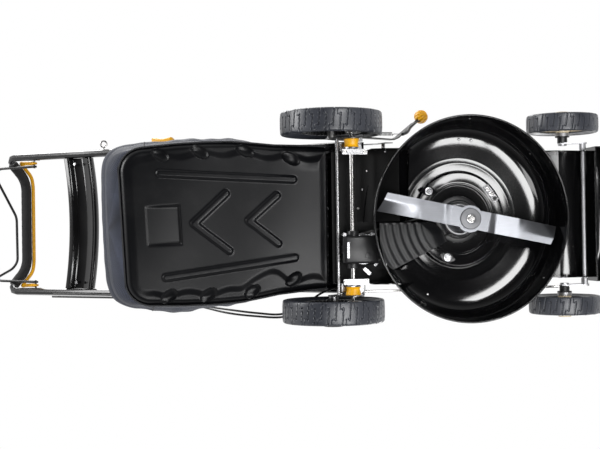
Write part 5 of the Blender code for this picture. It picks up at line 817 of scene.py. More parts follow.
def plate(name, x, y, turn, half_length, half_width, corner, low, high, bevel):
    """A plated flat bar with rounded corners, turned about its middle."""
    outline = rounded([(-half_length, -half_width), (half_length, -half_width), (half_length, half_width),
                       (-half_length, half_width)], corner, 3, True)
    piece(name, extruded(placed_flat(outline, x, y, turn), low, high, "XY", bevel), "zinc", "chassis")


def make_belt_guard():
    """The guard's skin: points blend from its inner to its outer edge; ribs are waves of the distance
    from the blade's axis, and the inner end curls up to the roof."""
    u = np.linspace(0, 1, 90)[:, None, None]
    inner = resampled([(-0.080, 0.0158), (-0.058, 0.026), (-0.046, 0.038), (-0.036, 0.064)], 70)[None]
    outer = resampled([(-0.2115, 0.0148), (-0.2115, 0.060), (-0.200, 0.114), (-0.178, 0.1335)], 70)[None]
    flat = inner * (1 - u) + outer * u
    reach = np.hypot(flat[..., 0], flat[..., 1] - AXLE_Y)
    wave = np.sin(TAU * (reach - 0.104) / 0.0190)
    edge = np.minimum(np.linspace(0, 1, 70), np.linspace(1, 0, 70))[None]
    fade = smoothstep(reach, 0.100, 0.108) * smoothstep(edge, 0.01, 0.05)
    curl = 9 * MM * (1 - smoothstep(u[..., 0], 0.0, 0.22))
    z = BELT_GUARD_Z - 4.2 * MM - 0.8 * MM * wave * fade + curl
    guard = to_object("ribbed_guard", grid_form(np.concatenate([flat, z[..., None]], -1)), closed=False)
    give_wall(guard, 2 * MM)
    dress(guard, "tray_plastic", "chassis", ("belt_guard",), smooth=60)
    for x, y in ((-0.125, 0.045), (-0.112, 0.090)):
        post = upright_pin(x, y, BELT_GUARD_Z - 3 * MM, float(chamber_z(x, y)) - 0.4 * MM, 5 * MM, 20)
        piece(f"guard_post_{round(-x * 1000)}", post, "black_plastic", "chassis")


def make_blade():
    """A bar's four-sided section carried along its length: joggled wings whose trailing edges rise,
    ground leading edges, slanted tips."""
    s = np.linspace(-1, 1, 161)[:, None]
    v = np.linspace(-1, 1, 15)
    out = np.abs(s)
    back = np.where(s > 0, -v, v)
    lift = 0.019 * np.maximum(0, (out - 0.55) / 0.45) * np.maximum(0, back + 0.25) / 1.25
    lift = lift + 4.0 * MM * np.clip((out - 0.215) / 0.075, 0, 1)
    lift = lift - 1.2 * MM * back * smoothstep(out, 0.25, 0.31) * (1 - smoothstep(out, 0.52, 0.62))
    ground = smoothstep(-back, 0.55, 1.0) * smoothstep(out, 0.46, 0.50)
    thick = 3.5 * MM * (1 - 0.85 * ground)
    slant = 0.013 * (1 - back) / 2 * smoothstep(out, 0.90, 1.0)
    x = s * BLADE_LENGTH / 2 - np.sign(s) * slant
    y = np.broadcast_to(v * BLADE_WIDTH / 2, x.shape)
    faces = [np.stack([x, y, lift], -1), np.stack([x, y, lift + thick], -1)[:, ::-1]]
    points, quads = grid_form(capped(np.concatenate(faces, 1)), wrap_columns=True)
    plan = placed_flat(points[:, :2], 0, AXLE_Y, BLADE_YAW)
    piece("cutting_blade", (np.column_stack([plan, points[:, 2] + BLADE_Z]), quads), "blade_steel", "crank",
          ("blade",), smooth=25)
    disc = rounded([(0, 0.0422), (0.0262, 0.0422), (0.0262, 0.0394), (0.0245, 0.0386), (0.0130, 0.0386),
                    (0.0118, 0.0380), (0, 0.0380)], 0.4 * MM, 2)
    piece("blade_washer", turned(disc, (0, AXLE_Y, 0), sides=96, closed=False), "washer_steel", "crank",
          ("blade_bolt",), smooth=25)
    screw("blade_bolt_head", (0, AXLE_Y, 0.0380), 15 * MM, 8.5 * MM, 10.2 * MM, "bright_steel", "crank")


def lens(length, width):
    """An eye-shaped outline: two mirrored arcs that meet in points."""
    t = np.linspace(-1, 1, 24)
    arc = (1 - t ** 2) * width
    return np.concatenate([np.stack([t * length, arc], 1), np.stack([t * length, -arc], 1)[::-1][1:-1]])


def placed_flat(outline, x, y, turn):
    """A flat outline turned by an angle and moved to a point."""
    c, sn = math.cos(turn), math.sin(turn)
    u, v = np.asarray(outline, float).T
    return np.stack([u * c - v * sn + x, u * sn + v * c + y], 1)


def make_engine_underside():
    """What shows through the deck: the engine's foot with its bright boss, lugs, bolts and a clamp."""
    foot = [(0.0595, 0.160), (0.0595, 0.1462), (0.0500, 0.1440), (0.0490, 0.1440), (0.0480, 0.1475),
            (0.0440, 0.1475), (0.0440, 0.160)]
    boss = [(0.0435, 0.160), (0.0435, 0.1400), (0.0405, 0.1330), (0.0360, 0.1310), (0.0330, 0.1345),
            (0.0330, 0.160)]
    for name, line, corner, steps, slot in (("engine_foot", foot, 1.2 * MM, 3, "black_plastic"),
                                            ("shaft_boss", boss, 1.6 * MM, 4, "cast_aluminium")):
        piece(name, turned(rounded(line, corner, steps), (0, AXLE_Y, 0), sides=96), slot, "chassis")
    for x, y, turn, word in ((-0.0785, -0.0628, 0.15, "right"), (-0.0315, 0.1049, 0.35, "left")):
        seat = float(chamber_z(x, y))
        low = seat - 4 * MM
        lug = extruded(placed_flat(lens(0.0225, 0.0118), x, y, turn), low, seat + 0.5 * MM, "XY", 1.4 * MM)
        piece(f"engine_lug_{word}", lug, "deck_paint", "chassis")
        screw(f"engine_bolt_{word}", (x, y, low), 12.5 * MM, 6 * MM, 9.8 * MM)
    x, y, turn = 0.0850, -0.0560, 0.95
    seat = float(chamber_z(x, y))
    low = seat - 3 * MM
    plate("roof_clamp", x, y, turn, 0.024, 0.0075, 2 * MM, low, seat + 0.5 * MM, 0.7 * MM)
    steps = ((-0.014, "bright_steel"), (0.001, "bright_steel"), (0.016, "black_plastic"))
    for k, (step, slot) in enumerate(steps):
        at = (x + step * math.cos(turn), y + step * math.sin(turn), low)
        screw(f"roof_clamp_screw_{k + 1}", at, 7.5 * MM, 3.5 * MM, 5.5 * MM, slot)


def make_deck_screws():
    """Small bright screws under the chamber's roof and the ramp, and the bead pressed into the ramp."""
    roof = ((0.0007, -0.1932), (0.0321, -0.1906), (-0.0876, 0.1964), (-0.1965, 0.1200))
    ramp = ((-0.2364, -0.1150), (-0.2465, -0.0690), (-0.2553, -0.0215), (-0.1995, -0.1600))
    seats = [float(chamber_z(x, y)) - 0.8 * MM for x, y in roof]
    seats += [float(ramp_z(x)) - 3.0 * MM for x, _ in ramp]
    head = rounded([(0, 0), (3.4 * MM, 0), (3.2 * MM, 1.4 * MM), (2.0 * MM, 2.4 * MM), (0, 2.6 * MM)],
                   0.5 * MM, 2)
    for k, ((x, y), seat) in enumerate(zip(roof + ramp, seats)):
        form = turned(head, (x, y, seat), (0, 0, -1), 20, closed=False)
        piece(f"small_screw_{k + 1}", form, "zinc", "chassis")
    share = np.linspace(0, 1, 30)
    x = -0.2329 - 0.0119 * share ** 0.7
    line = np.stack([x, -0.0780 + 0.0914 * share, ramp_z(x) - 2.5 * MM], 1)
    piece("ramp_bead", rod(resampled(line, 40), 2.2 * MM, 10, up=(0.3, 0.2, 1)), "deck_paint", "chassis")


def fluted_ball(centre, axis, radius):
    """A ball whose radius dips in flutes that fade towards its poles."""
    flutes = 14
    side, up, axis = frame_of(axis)
    down = np.linspace(0, math.pi, 40)
    angle = np.arange(flutes * 10) / (flutes * 10) * TAU
    dip = 1 - 0.085 * np.abs(np.sin(angle[:, None] * flutes / 2)) ** 0.7 * np.sin(down) ** 0.8
    reach = radius * dip
    ring_out = reach * np.sin(down)
    height = reach * np.cos(down)
    around = np.cos(angle)[:, None, None] * side + np.sin(angle)[:, None, None] * up
    points = np.asarray(centre) + around * ring_out[..., None] + axis * height[..., None]
    return grid_form(points, wrap_rows=True)


def make_height_knob():
    knob = middle("lever_knob") - SHIFT + (-0.0055, -0.0060, 0)
    piece("height_knob", fluted_ball(knob, (0.55, -0.30, -0.65), 0.0182), "yellow_plastic", "rear_carrier",
          ("lever_knob",), smooth=60)
    softened("height_lever", slot="wire_black")
    line = smooth_line([(-0.1290, -0.2120, 0.198), (-0.1130, -0.2190, 0.212), (-0.0990, -0.2330, 0.236),
                        (-0.0800, -0.2480, 0.257), knob], 60)
    piece("knob_sleeve", rod(line, 4.2 * MM, 16, up=(1, 0, 0)), "black_plastic", "rear_carrier")


def make_gearbox_details():
    """Clip, plug, screws and tab of the gear case."""
    plate("gear_case_clip", -0.2965, 0.0820, 0.0, 0.0030, 0.0200, 1.5 * MM, 0.0866, 0.0880, 0.3 * MM)
    plug = rounded([(0.0, 0.0872), (0.0062, 0.0872), (0.0070, 0.0884), (0.0, 0.0884)], 0.3 * MM, 2)
    piece("gear_case_plug", turned(plug, (-0.2480, 0.0950, 0), sides=32, closed=False), "black_plastic",
          "chassis")
    seat, roof = 0.104, 0.140
    spots = ((-0.302, 0.0440), (-0.236, 0.0440), (-0.222, 0.0920), (-0.225, 0.1180))
    for k, (x, y) in enumerate(spots):
        form = joined(hex_bolt((x, y, seat), (0, 0, -1), 7.5 * MM, 4 * MM, 5 * MM),
                      upright_pin(x, y, seat - MM, roof, 2.5 * MM, 16))
        piece(f"gear_case_screw_{k + 1}", form, "zinc", "chassis")
    plate("gear_case_tab", -0.248, 0.1345, 0.75, 0.0110, 0.0045, 1.5 * MM, 0.0985, 0.1005, 0.4 * MM)


def make_axle_brackets():
    """A plated strap with two screws across each axle bracket, inboard of its bush."""
    low, high = 0.0935, 0.0958
    for y, word in ((0.160, "left"), (-0.160, "right")):
        plate(f"axle_strap_{word}", -0.276, y, 0.0, 0.0320, 0.0068, 2 * MM, low, high, 0.5 * MM)
        for k, x in enumerate((-0.3015, -0.2505)):
            screw(f"axle_strap_screw_{word}_{k + 1}", (x, y, low), 8.5 * MM, 4 * MM, 5.8 * MM, "bright_steel")


def make_front_collars():
    """Black stepped collars on the front stubs, between the wheels and the arms."""
    softened("front_axle_carrier", slot="dark_steel")
    centre = wheel_centre("front_tyre_left")
    steps = rounded([(0.0068, 0.1790), (0.0125, 0.1790), (0.0125, 0.1930), (0.0180, 0.1935), (0.0180, 0.2030),
                     (0.0068, 0.2030)], 0.8 * MM, 2, True)
    for side, word in ((1, "left"), (-1, "right")):
        collar = turned(steps, (centre[0], 0, centre[2]), (0, side, 0), 40)
        piece(f"stub_collar_{word}", collar, "black_plastic", "front_carrier")


def make_lever_spring():
    """The height adjuster's tension spring beside the right flange: hooks and close turns of wire."""
    t = np.linspace(0, 1, 700)
    angle = TAU * 22 * t
    y, z, coil_radius = -0.2095, 0.160, 0.0040
    coil = np.stack([-0.238 + 0.072 * t, y + coil_radius * np.cos(angle), z + coil_radius * np.sin(angle)], 1)
    hooks = [(-0.252, y, z), (-0.243, y, z)], [(-0.161, y, z), (-0.146, y + 0.5 * MM, z)]
    line = np.concatenate([hooks[0], coil, hooks[1]])
    piece("lever_spring", rod(line, 0.9 * MM, 8, up=(0.1, 0.2, 1)), "wire_black", "chassis", smooth=60)


# Bag

def base_z(x):
    share = (BAG_FRONT_X - x) / (BAG_FRONT_X - BAG_REAR_X)
    return BAG_BASE_FRONT_Z + (BAG_BASE_REAR_Z - BAG_BASE_FRONT_Z) * share


def capsule(x, y, start, end, half):
    """Distance from a round-ended bar between two points, below 0 inside."""
    (x0, y0), (x1, y1) = start, end
    dx, dy = x1 - x0, y1 - y0
    t = np.clip(((x - x0) * dx + (y - y0) * dy) / (dx * dx + dy * dy), 0, 1)
    return np.hypot(x - x0 - t * dx, y - y0 - t * dy) - half


# The tray's rear, its side's stations, its ribs and scoops, and the lid's ends and grip
TRAY_REAR_X, TRAY_CORNER = -0.845, 0.062
TRAY_SIDE_X = [-0.800, -0.700, -0.620, -0.560, -0.500, -0.460, -0.400, -0.334]
TRAY_SIDE_Y = [0.197, 0.203, 0.204, 0.202, 0.194, 0.188, 0.184, 0.180]
RIB_HALF = 0.0105
SCOOPS = ((-0.740, 0.177), (-0.642, 0.179), (-0.531, 0.177), (-0.4215, 0.152))
SCOOP_TURN = 0.60
LID_REAR_X, LID_FRONT_X, LID_GRIP_X = -0.8585, -0.3345, -0.600


def hung(x, y, share=1.0):
    """The bag hangs a little askew on its rod: its rear swings to the mower's left."""
    swing = share * smoothstep(-x, 0.34, 0.60)
    return x + 0.050 * y * swing, y + share * 0.040 * np.maximum(0, -0.37 - x)


def tray_half(x):
    """The tray's half width at an x: its long sides, drawn in at the rear corners."""
    into = np.clip((TRAY_REAR_X + TRAY_CORNER - x) / TRAY_CORNER, 0, 1)
    return np.interp(x, TRAY_SIDE_X, TRAY_SIDE_Y) - TRAY_CORNER * (1 - np.sqrt(1 - into ** 2))


def tray_height(x, y, edge):
    """How far the tray's underside stands above its sloped plane: round edges, a shoulder that waves
    through the scoops, low ribs, and the scoops."""
    rise = TRAY_RIM * (1 - np.sqrt(np.clip(1 - (1 - np.clip(edge / 0.019, 0, 1)) ** 2.2, 0, 1)))
    wide = smoothstep(-x, 0.76, 0.82)
    wave = 0.005 * np.cos(TAU * (x + 0.690) / 0.105) * (1 - wide)
    lobe = 0.026 * np.exp(-((x + 0.495) / 0.055) ** 4) * (y > 0)
    shoulder = 0.036 - 0.006 * wide + wave + lobe
    rise = rise + (5.5 - 3.5 * wide) * MM * (1 - smoothstep(edge, shoulder - 0.016, shoulder + 0.005))
    fold = smoothstep(-y, 0.115, 0.150) * np.exp(-((x + 0.375) / 0.035) ** 2)
    swell = np.sin(TAU * (x * 0.9 + y * 0.35) / 0.31) * (np.abs(y) < 0.2)
    rise = rise + 3.0 * MM * fold + 1.2 * MM * swell
    ribs = []
    for sign in (-1, 1):
        ribs.append(capsule(x, y, (-0.744, sign * 0.130), (-0.417, sign * 0.098), RIB_HALF))
        for apex, reach, spread in ((-0.667, 0.084, 0.0715), (-0.530, 0.0715, 0.060)):
            ribs.append(capsule(x, y, (apex, 0), (apex + reach, sign * spread), RIB_HALF))
    low = 5.0 * MM * (1 - smoothstep(np.minimum.reduce(ribs), -0.0055, 0.0005))
    square = np.maximum(np.abs(x + 0.7425) - 0.0435, np.abs(y) - 0.050)
    tilt = 1.0 * MM + 6.5 * MM * np.clip((x + 0.786) / 0.087, 0, 1)
    low = low - tilt * (1 - smoothstep(square, -0.0050, 0.0005))
    hollow = np.zeros_like(x)
    lean = SCOOP_TURN * np.sign(y)
    for scoop_x, scoop_y in SCOOPS:
        ahead, aside = x - scoop_x, y - np.sign(y) * scoop_y
        u = ahead * math.cos(SCOOP_TURN) - aside * np.sin(lean)
        v = ahead * np.sin(lean) + aside * math.cos(SCOOP_TURN)
        reach = np.hypot(u / 0.0235, v / 0.0140)
        hollow = np.maximum(hollow, (9 * MM + 0.10 * u) * np.sqrt(np.clip(1 - reach ** 2, 0, 1)))
    return rise - low + hollow


def make_tray():
    """The bag's moulded base: a height over the plan, on a grid drawn in at the rear corners."""
    rows, columns = 290, 170
    share = np.linspace(0, 1, rows)
    length = BAG_FRONT_X - 2 * MM - TRAY_REAR_X
    x = TRAY_REAR_X + length * (share - 0.18 * np.sin(TAU * share) / TAU)
    x[0] = TRAY_REAR_X + 1e-5
    across = np.linspace(-1, 1, columns)
    across = across * (1.35 - 0.35 * across ** 2)
    half = tray_half(x)[:, None]
    gx, gy = np.repeat(x[:, None], columns, 1), half * across
    edge = np.minimum(half - np.abs(gy), gx - TRAY_REAR_X)
    side = np.interp(gx, TRAY_SIDE_X[:2], TRAY_SIDE_Y[:2])
    in_x, in_y = TRAY_REAR_X + TRAY_CORNER - gx, np.abs(gy) - (side - TRAY_CORNER)
    corner = np.hypot(np.maximum(in_x, 0), np.maximum(in_y, 0))
    edge = np.where((in_x > 0) & (in_y > 0), TRAY_CORNER - corner, edge)
    edge = np.clip(np.minimum(edge, (BAG_FRONT_X + 8 * MM - gx) * 1.4), 0, None)
    gz = base_z(gx) + tray_height(gx, gy, edge)
    tray = to_object("bag_tray", grid_form(np.stack([*hung(gx, gy), gz], -1)), closed=False)
    give_wall(tray, 2 * MM, 1.0)
    dress(tray, "tray_plastic", "bag", ("bag_base",), smooth=60)


def tray_edge():
    """The tray's outline over the ground as points, from its mouth round the rear."""
    x = TRAY_REAR_X + (BAG_FRONT_X - TRAY_REAR_X) * (1 - np.cos(np.linspace(0, math.pi / 2, 400))) ** 1.3
    half = tray_half(np.clip(x, TRAY_REAR_X + 1e-6, None))
    side = np.stack([x, half], 1)[::-1]
    return np.concatenate([side, side[::-1] * (1, -1)])


def bag_plan(count):
    """The bag's outline over the ground, from its mouth round the rear, as smooth points and its run."""
    half, rear, bend = BAG_HALF, BAG_REAR_X, 0.060
    turn = np.radians(np.linspace(78, 176, 5))
    side = [(BAG_FRONT_X, half - 0.012), (-0.400, half - 0.010), (-0.470, half - 0.006),
            (-0.560, half + 0.006), (-0.680, half + 0.007), (-0.780, half + 0.002)]
    corner = np.stack([rear + bend + bend * np.cos(turn), half - bend + bend * np.sin(turn)], 1)
    line = np.concatenate([side, corner, [(rear - 0.004, half * 0.35)]])
    line = np.concatenate([line, line[::-1] * (1, -1)])
    plan = resampled(rounded(line, 0.030, 6), count)
    run = np.concatenate([[0], np.cumsum(np.linalg.norm(np.diff(plan, axis=0), axis=1))])
    return plan, run


def lid_z(x):
    """Height of the lid along its middle, eased between its measured stations."""
    xs = np.array([-0.880, -0.820, -0.700, -0.560, -0.430, -0.345, -0.328])
    zs = np.array([0.380, 0.405, 0.428, 0.425, 0.400, 0.345, 0.336])
    return (np.interp(x - 0.012, xs, zs) + 2 * np.interp(x, xs, zs) + np.interp(x + 0.012, xs, zs)) / 4


def cloth_point(x, y, run, level):
    """A point of the cloth wall: it bulges low down, draws in towards the lid, leans at the rear,
    and hangs in shallow folds between its seams."""
    level = np.broadcast_to(level, np.broadcast(x, level).shape)
    x, y, run = (np.broadcast_to(k, level.shape) for k in (x, y, run))
    rearward = smoothstep(-x, 0.70, 0.80)
    low = base_z(x) + TRAY_RIM
    high = lid_z(x + BAG_LEAN * rearward) - 14.8 * MM
    bulge = 0.010 * np.sin(math.pi * np.minimum(1, level * 1.3)) * smoothstep(-x, 0.46, 0.54)
    behind = 1 - BAG_TAPER * np.maximum(0, (level - 0.28) / 0.72) ** 0.8
    ahead = 1 - BAG_TAPER * np.clip((level - 0.12) / 0.30, 0, 1)
    narrow = ahead + (behind - ahead) * smoothstep(-x, 0.45, 0.51)
    lean = BAG_LEAN * np.maximum(0, level - 0.3) / 0.7 * rearward
    loose = smoothstep(-x, 0.50, 0.60)
    fold = (1.6 * MM * np.sin(TAU * run / 0.118 + 2.2 * level)
            + 1.1 * MM * np.sin(TAU * run / 0.047 - 3.1 * level)
            + 0.9 * MM * np.sin(TAU * (run * 1.7 + level * 0.31) / 0.083))
    fold = fold * np.sin(math.pi * np.clip(level, 0, 1)) * (0.30 + 0.7 * loose)
    fold = fold * (1 - 0.8 * smoothstep(-x, 0.78, 0.84))
    sag = 3.5 * MM * np.sin(math.pi * np.clip(level * 1.15, 0, 1)) * loose
    crease_level = 0.16 + 0.03 * np.sin(TAU * run / 0.29)
    crease = 2.2 * MM * np.exp(-((level - crease_level) / 0.035) ** 2) * loose
    push = fold + sag - crease
    to_rear = smoothstep(-x, 0.80, 0.86)
    slack = 0.016 * np.exp(-((level - 0.42) / 0.30) ** 2) * to_rear
    droop = 0.013 * np.exp(-((x + 0.725) / 0.085) ** 2) * (y > 0) * np.exp(-((level - 0.22) / 0.22) ** 2)
    out_x = x + lean - push * to_rear - slack
    out_y = y * narrow + np.clip(y / 0.10, -1, 1) * (bulge + push * (1 - 0.5 * to_rear) + droop)
    return np.stack([*hung(out_x, out_y, 1 - np.clip(level, 0, 1)), low + (high - low) * level], -1)


def make_bag_cloth():
    """The bag's cloth: a lofted wall with a woven face, and a skirt that meets the tray's edge."""
    plan, run = bag_plan(380)
    wall = cloth_point(plan[:, :1], plan[:, 1:], run[:, None], np.linspace(0.0, 1, 58)[None])
    line = tray_edge()
    near = line[np.argmin(np.hypot(plan[:, :1] - line[:, 0], plan[:, 1:] - line[:, 1]), axis=1)]
    near = np.stack(hung(near[:, 0], near[:, 1]), 1)
    start = np.column_stack([near, base_z(near[:, 0]) + 0.013])
    t = np.linspace(0, 1, 14)[None, :-1, None]
    skirt = start[:, None] * (1 - t) + wall[:, :1] * t - np.array([0, 0, 4 * MM]) * np.sin(math.pi * t)
    grid = np.concatenate([skirt, wall], 1)
    rises = np.cumsum(np.linalg.norm(np.diff(grid, axis=1), axis=-1), axis=1)
    height = np.concatenate([np.zeros((len(plan), 1)), rises], 1)
    cloth = to_object("bag_cloth_wall", grid_form(grid), merge=False)
    lay_uv(cloth, np.stack([np.broadcast_to(run[:, None], height.shape), height], -1))
    give_wall(cloth, 1.4 * MM)
    dress(cloth, "bag_cloth", "bag", ("bag_fabric",), smooth=180)
    make_seams(plan, run, start)


def make_seams(plan, run, border):
    """Round pipings along the cloth's lower and upper edges, and upright seams."""
    total = run[-1]
    fine, fine_run = bag_plan(500)
    upper = cloth_point(fine[:, 0], fine[:, 1], fine_run, np.full(500, 0.97))
    lower = resampled(smooth_line(border, 800), 500)
    for name, line, radius in (("lower_piping", lower, 2.0 * MM), ("upper_piping", upper, 2.2 * MM)):
        seam = to_object(name, rod(line, radius, 10))
        uv = np.stack([np.repeat(np.linspace(0, total, 502), 10), np.tile(np.arange(10) * 1.4 * MM, 502)], 1)
        lay_uv(seam, uv[:len(seam.data.vertices)])
        dress(seam, "hem_tape", "bag", smooth=60)
    steps = np.linspace(0.0, 0.985, 60)
    for k, (share, radius) in enumerate(((0.002, 2.4), (0.315, 1.8), (0.685, 1.8), (0.998, 2.4))):
        at = share * total
        x, y = np.interp(at, run, plan[:, 0]), np.interp(at, run, plan[:, 1])
        line = cloth_point(x, y, at, steps)
        seam = to_object(f"upright_seam_{k + 1}", rod(line, radius * MM, 10, up=(1, 0, 0)))
        lay_uv(seam, np.tile((0.01, 0.02), (len(seam.data.vertices), 1)))
        dress(seam, "hem_tape", "bag", smooth=60)


def make_lid():
    """The moulded lid: height follows its stations along, drops towards its edges in a round, with a
    shallow raised field and ridges; a hoop grip stands on it."""
    stations = np.array([LID_REAR_X, -0.850, -0.830, -0.800, -0.700, -0.560, -0.430, -0.380, LID_FRONT_X])
    drawn_in = np.array([0.069, 0.044, 0.027, 0.018, 0.0125, 0.0135, 0.024, 0.026, 0.029])
    rows, columns = 170, 120
    t = np.linspace(0, 1, rows)
    x = LID_REAR_X + (LID_FRONT_X - LID_REAR_X) * (t - 0.10 * np.sin(TAU * t) / TAU)
    half = TRAY_HALF - np.interp(x, stations, drawn_in)[:, None]
    across = np.linspace(-1, 1, columns)
    across = across * (1.25 - 0.25 * across ** 2)
    gx, gy = np.repeat(x[:, None], columns, 1), half * across
    ends = np.minimum(gx - LID_REAR_X, LID_FRONT_X - gx) + 4 * MM
    edge = np.minimum(half - np.abs(gy), ends)
    drop = 0.010 * (1 - np.sqrt(np.clip(1 - (1 - np.clip(edge / 0.030, 0, 1)) ** 2.2, 0, 1)))
    field = 2.0 * MM * smoothstep(edge, 0.030, 0.036)
    bars = [capsule(gx, gy, (-0.790, line), (-0.450, line * 0.94), 4 * MM)
            for line in (-0.096, -0.064, 0.064, 0.096)]
    ridge = 1.8 * MM * (1 - smoothstep(np.minimum.reduce(bars), -0.002, 0.002))
    pad = np.maximum(np.abs(gx - LID_GRIP_X) - 0.030, np.abs(gy) - 0.075)
    field = field - 2.5 * MM * (1 - smoothstep(pad, -0.006, 0.004))
    gz = lid_z(gx) - 2.5 * MM - drop + field + ridge
    lid = to_object("moulded_lid", grid_form(np.stack([gx, gy, gz], -1)), closed=False)
    give_wall(lid, 2.5 * MM, -1.0)
    dress(lid, "black_plastic", "bag", ("bag_lid",), smooth=60)
    base = float(lid_z(LID_GRIP_X)) - 4 * MM
    hoop = [(LID_GRIP_X, y, base + z) for y, z in ((-0.055, 0), (-0.055, 0.038), (0.055, 0.038), (0.055, 0))]
    hoop = rounded(hoop, 0.018, 8)
    swell = 1 + 0.25 * smoothstep(-np.abs(hoop[:, 1]), -0.045, -0.030)
    piece("lid_grip", rod(hoop, 7.8 * MM, 18, up=(1, 0, 0), scale=swell), "gloss_plastic", "bag")


def make_mouth_hem():
    """The crinkled edge strip along the bag's mouth: a bar whose line wavers."""
    y = np.linspace(-0.158, 0.158, 220)
    waver = 0.0012 * np.sin(TAU * y / 0.013) + 0.0008 * np.sin(TAU * y / 0.031)
    line = np.stack([-0.3300 + waver, y, 0.1905 + 0.0010 * np.cos(TAU * y / 0.017)], 1)
    piece("mouth_hem", rod(line, 2.6 * MM, 10, up=(1, 0, 0)), "gloss_plastic", "bag")


# Handle

def grip_line():
    """The handle's turned-in risers and crossbar, one smooth line between its two corners."""
    corner = on_upper(HANDLE_CORNER_X)
    bend = np.array([GRIP_X, GRIP_HALF + 0.016, GRIP_Z])
    start = corner + (bend - corner) * 0.24
    points = np.array([start, bend, bend * (1, -1, 1), start * (1, -1, 1)])
    return resampled(rounded(points, 0.034, 10), 130)


def make_grip():
    """Foam sleeve over risers and crossbar, slightly uneven, with rounded ends."""
    line = grip_line()
    t = np.linspace(0, 1, len(line))
    ends = np.sqrt(np.clip(1 - (1 - np.clip(np.minimum(t, 1 - t) / 0.012, 0, 1)) ** 2, 0.30, 1))
    scale = ends * (1 + 0.008 * np.sin(TAU * t * 17) + 0.006 * np.sin(TAU * t * 41 + 1))
    grip = piece("foam_grip", rod(line, GRIP_RADIUS, 28, up=(1, 0, 0), scale=scale), "foam", "handle_top",
                 ("handle_grip",), smooth=60)


def bail_form(path, radius, sides, count, outer):
    """A bent wire with a flat eye round the pivot's line at both of its ends."""
    wire = rod(resampled(rounded(path, 0.014, 6), count), radius, sides, up=(1, 0, 0))
    bore, half = 3.6 * MM, 3.1 * MM
    section = rounded([(bore, -half), (outer, -half), (outer, half), (bore, half)], 0.6 * MM, 2, True)
    return joined(wire, *(turned(section, end, (0, 1, 0), 32) for end in (path[0], path[-1])))


def make_bails():
    """The presence bail that hugs the grip's front, and the offset wire bail behind it."""
    pivot = on_upper(-1.128, 0.021, 0.0)
    y = UPPER_Y - 0.0185
    half = [pivot + (0, y, 0), pivot + (-0.034, y + 0.0015, 0.038), pivot + (-0.048, y + 0.0055, 0.055),
            (pivot[0] - 0.016, y - 0.0385, GRIP_Z - 0.008), (pivot[0] - 0.0125, y - 0.0685, GRIP_Z)]
    half = np.array(half)
    form = bail_form(np.concatenate([half, half[::-1] * (1, -1, 1)]), 5.5 * MM, 16, 160, 8.5 * MM)
    piece("presence_bar", form, "yellow_plastic", "presence_bail", ("opc_bail",), smooth=50)
    y = UPPER_Y - 0.0285
    rear = -1.2422
    path = [pivot + (0, y, 0), (rear + 0.012, y - 0.004, GRIP_Z - 0.045), (rear, y - 0.012, GRIP_Z - 0.030),
            (rear + 0.048, 0.1385, GRIP_Z + 0.010), (rear + 0.0615, 0.1167, GRIP_Z + 0.015),
            (rear + 0.060, -0.0234, GRIP_Z + 0.015), (rear, -y + 0.026, GRIP_Z - 0.030),
            (rear + 0.012, -y + 0.004, GRIP_Z - 0.045), pivot + (0, -y, 0)]
    form = bail_form(np.array(path), 4 * MM, 14, 180, 7.5 * MM)
    piece("drive_bar", form, "wire_black", "drive_lever", ("drive_bail",), smooth=50)


def make_console():
    """The bowed panel between the tubes: a moulded section with a hollow underside, carried across."""
    reach = UPPER_Y - TUBE_RADIUS - 0.4 * MM
    section = rounded([(0.0, -0.006), (0.03, -0.0095), (0.17, -0.0095), (0.21, -0.004), (0.27, 0.006),
                       (0.55, 0.010), (0.78, 0.005), (0.86, -0.004), (0.92, -0.0085), (0.985, -0.0075),
                       (1.0, -0.001), (0.98, 0.009), (0.80, 0.0155), (0.50, 0.0195), (0.15, 0.0155),
                       (0.0, 0.008)], 0.02, 3, True)
    share = np.linspace(-1, 1, 90)[:, None]
    rear = -1.0175 + 0.015 * (1 - share ** 2)
    shell = on_upper(rear + 0.083 * section[:, 0], section[:, 1], share * reach)
    piece("console_shell", grid_form(capped(shell), wrap_columns=True), "gloss_plastic", "handle_top",
          ("console_panel",), smooth=40)
    down = (-math.sin(UPPER_SLOPE), 0, -math.cos(UPPER_SLOPE))
    for side, word in ((1, "left"), (-1, "right")):
        spot = on_upper(-0.985, -3 * MM, side * (reach - 0.018))
        piece(f"console_screw_{word}", hex_bolt(spot, down, 8 * MM, 4 * MM), "zinc", "handle_top")


def make_rope_guide():
    """A pigtail of wire: a stem out of the tube and a helix of one and a half turns."""
    root = on_upper(-0.901, 2 * MM, -(UPPER_Y + 4 * MM))
    t = np.linspace(0, 1, 80)
    angle = TAU * 1.45 * t
    coil = root + np.stack([0.0085 * np.sin(angle), 0.0095 * np.cos(angle) - 0.0235, 0.0105 * t + MM], 1)
    line = np.concatenate([[root], [root + (0, -0.008, 0.0003)], coil])
    piece("rope_pigtail", rod(line, 2.6 * MM, 12), "bright_steel", "handle_top", ("rope_guide",), smooth=60)


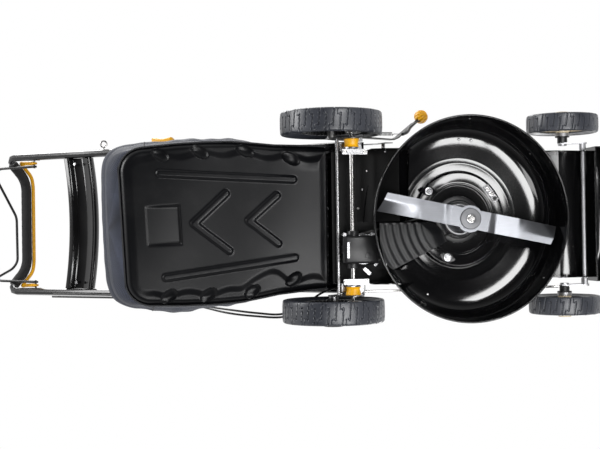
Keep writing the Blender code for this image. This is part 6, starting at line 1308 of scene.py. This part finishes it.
def make_cables():
    """Two control cables along the left tubes, each one fixed smooth line that curves down past the handle's
    fold.
    """
    run = TUBE_RADIUS + CABLE_RADIUS + 0.8 * MM
    along = (-1.060, -0.960, -0.860, -0.780, -0.715)
    drive = list(on_upper(along, (-0.003, -0.003, -0.004, -0.014, -0.024),
                          UPPER_Y + run + np.array([0, 0, 0, 0.001, 0.004])))
    drive += [(-0.640, 0.2330, 0.478), (-0.570, 0.2390, 0.366), (-0.500, 0.2450, 0.292),
              (-0.440, 0.2470, 0.264), (-0.385, 0.2280, 0.262), (-0.345, 0.1990, 0.252),
              (-0.318, 0.1840, 0.230), (-0.300, 0.1790, 0.205), (-0.292, 0.1785, 0.180),
              (-0.291, 0.1785, 0.1603)]
    along = (-1.050, *along[1:])
    brake = list(on_upper(along, np.array([0, 0, 0, -0.008, -0.022]) - run,
                          UPPER_Y + np.array([0.004, 0.004, 0.006, 0.010, 0.014])))
    brake += [(-0.640, 0.2350, 0.462), (-0.570, 0.2480, 0.362), (-0.500, 0.2540, 0.302),
              (-0.440, 0.2560, 0.277), (-0.385, 0.2440, 0.286), (-0.330, 0.2220, 0.302),
              (-0.270, 0.2040, 0.320), (-0.200, 0.1550, 0.312), (-0.150, 0.1000, 0.288),
              (-0.1091, 0.0720, 0.272), (-0.0906, 0.0613, 0.268)]
    for name, route in (("drive_cable", drive), ("brake_cable", brake)):
        line = rod(smooth_line(route, 300), CABLE_RADIUS, 12, up=(0, 1, 0.1))
        made = piece(name + "_outer", line, "wire_black", None, (name,), smooth=60)
        start = on_upper(-0.700, -0.03, 0.23) + SHIFT
        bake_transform(made)


make_camera()
make_sky()
make_floor()
make_lamps()
make_tyres()
make_tray()
make_bag_cloth()
make_lid()
make_mouth_hem()
make_chamber()
make_belt_guard()
make_blade()
make_engine_underside()
make_deck_screws()
make_height_knob()
make_axle_brackets()
make_front_collars()
make_lever_spring()
softened("deck_shell", without=front_room())
softened("rear_baffle", slot="baffle_black")
make_gearbox_details()
make_grip()
make_bails()
make_console()
make_rope_guide()
make_cables()

DONE = {name for made in bpy.data.objects for name in made.get("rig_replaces", [])}
for node_name in frame["nodes"]:
    if node_name not in DONE:
        softened(node_name)
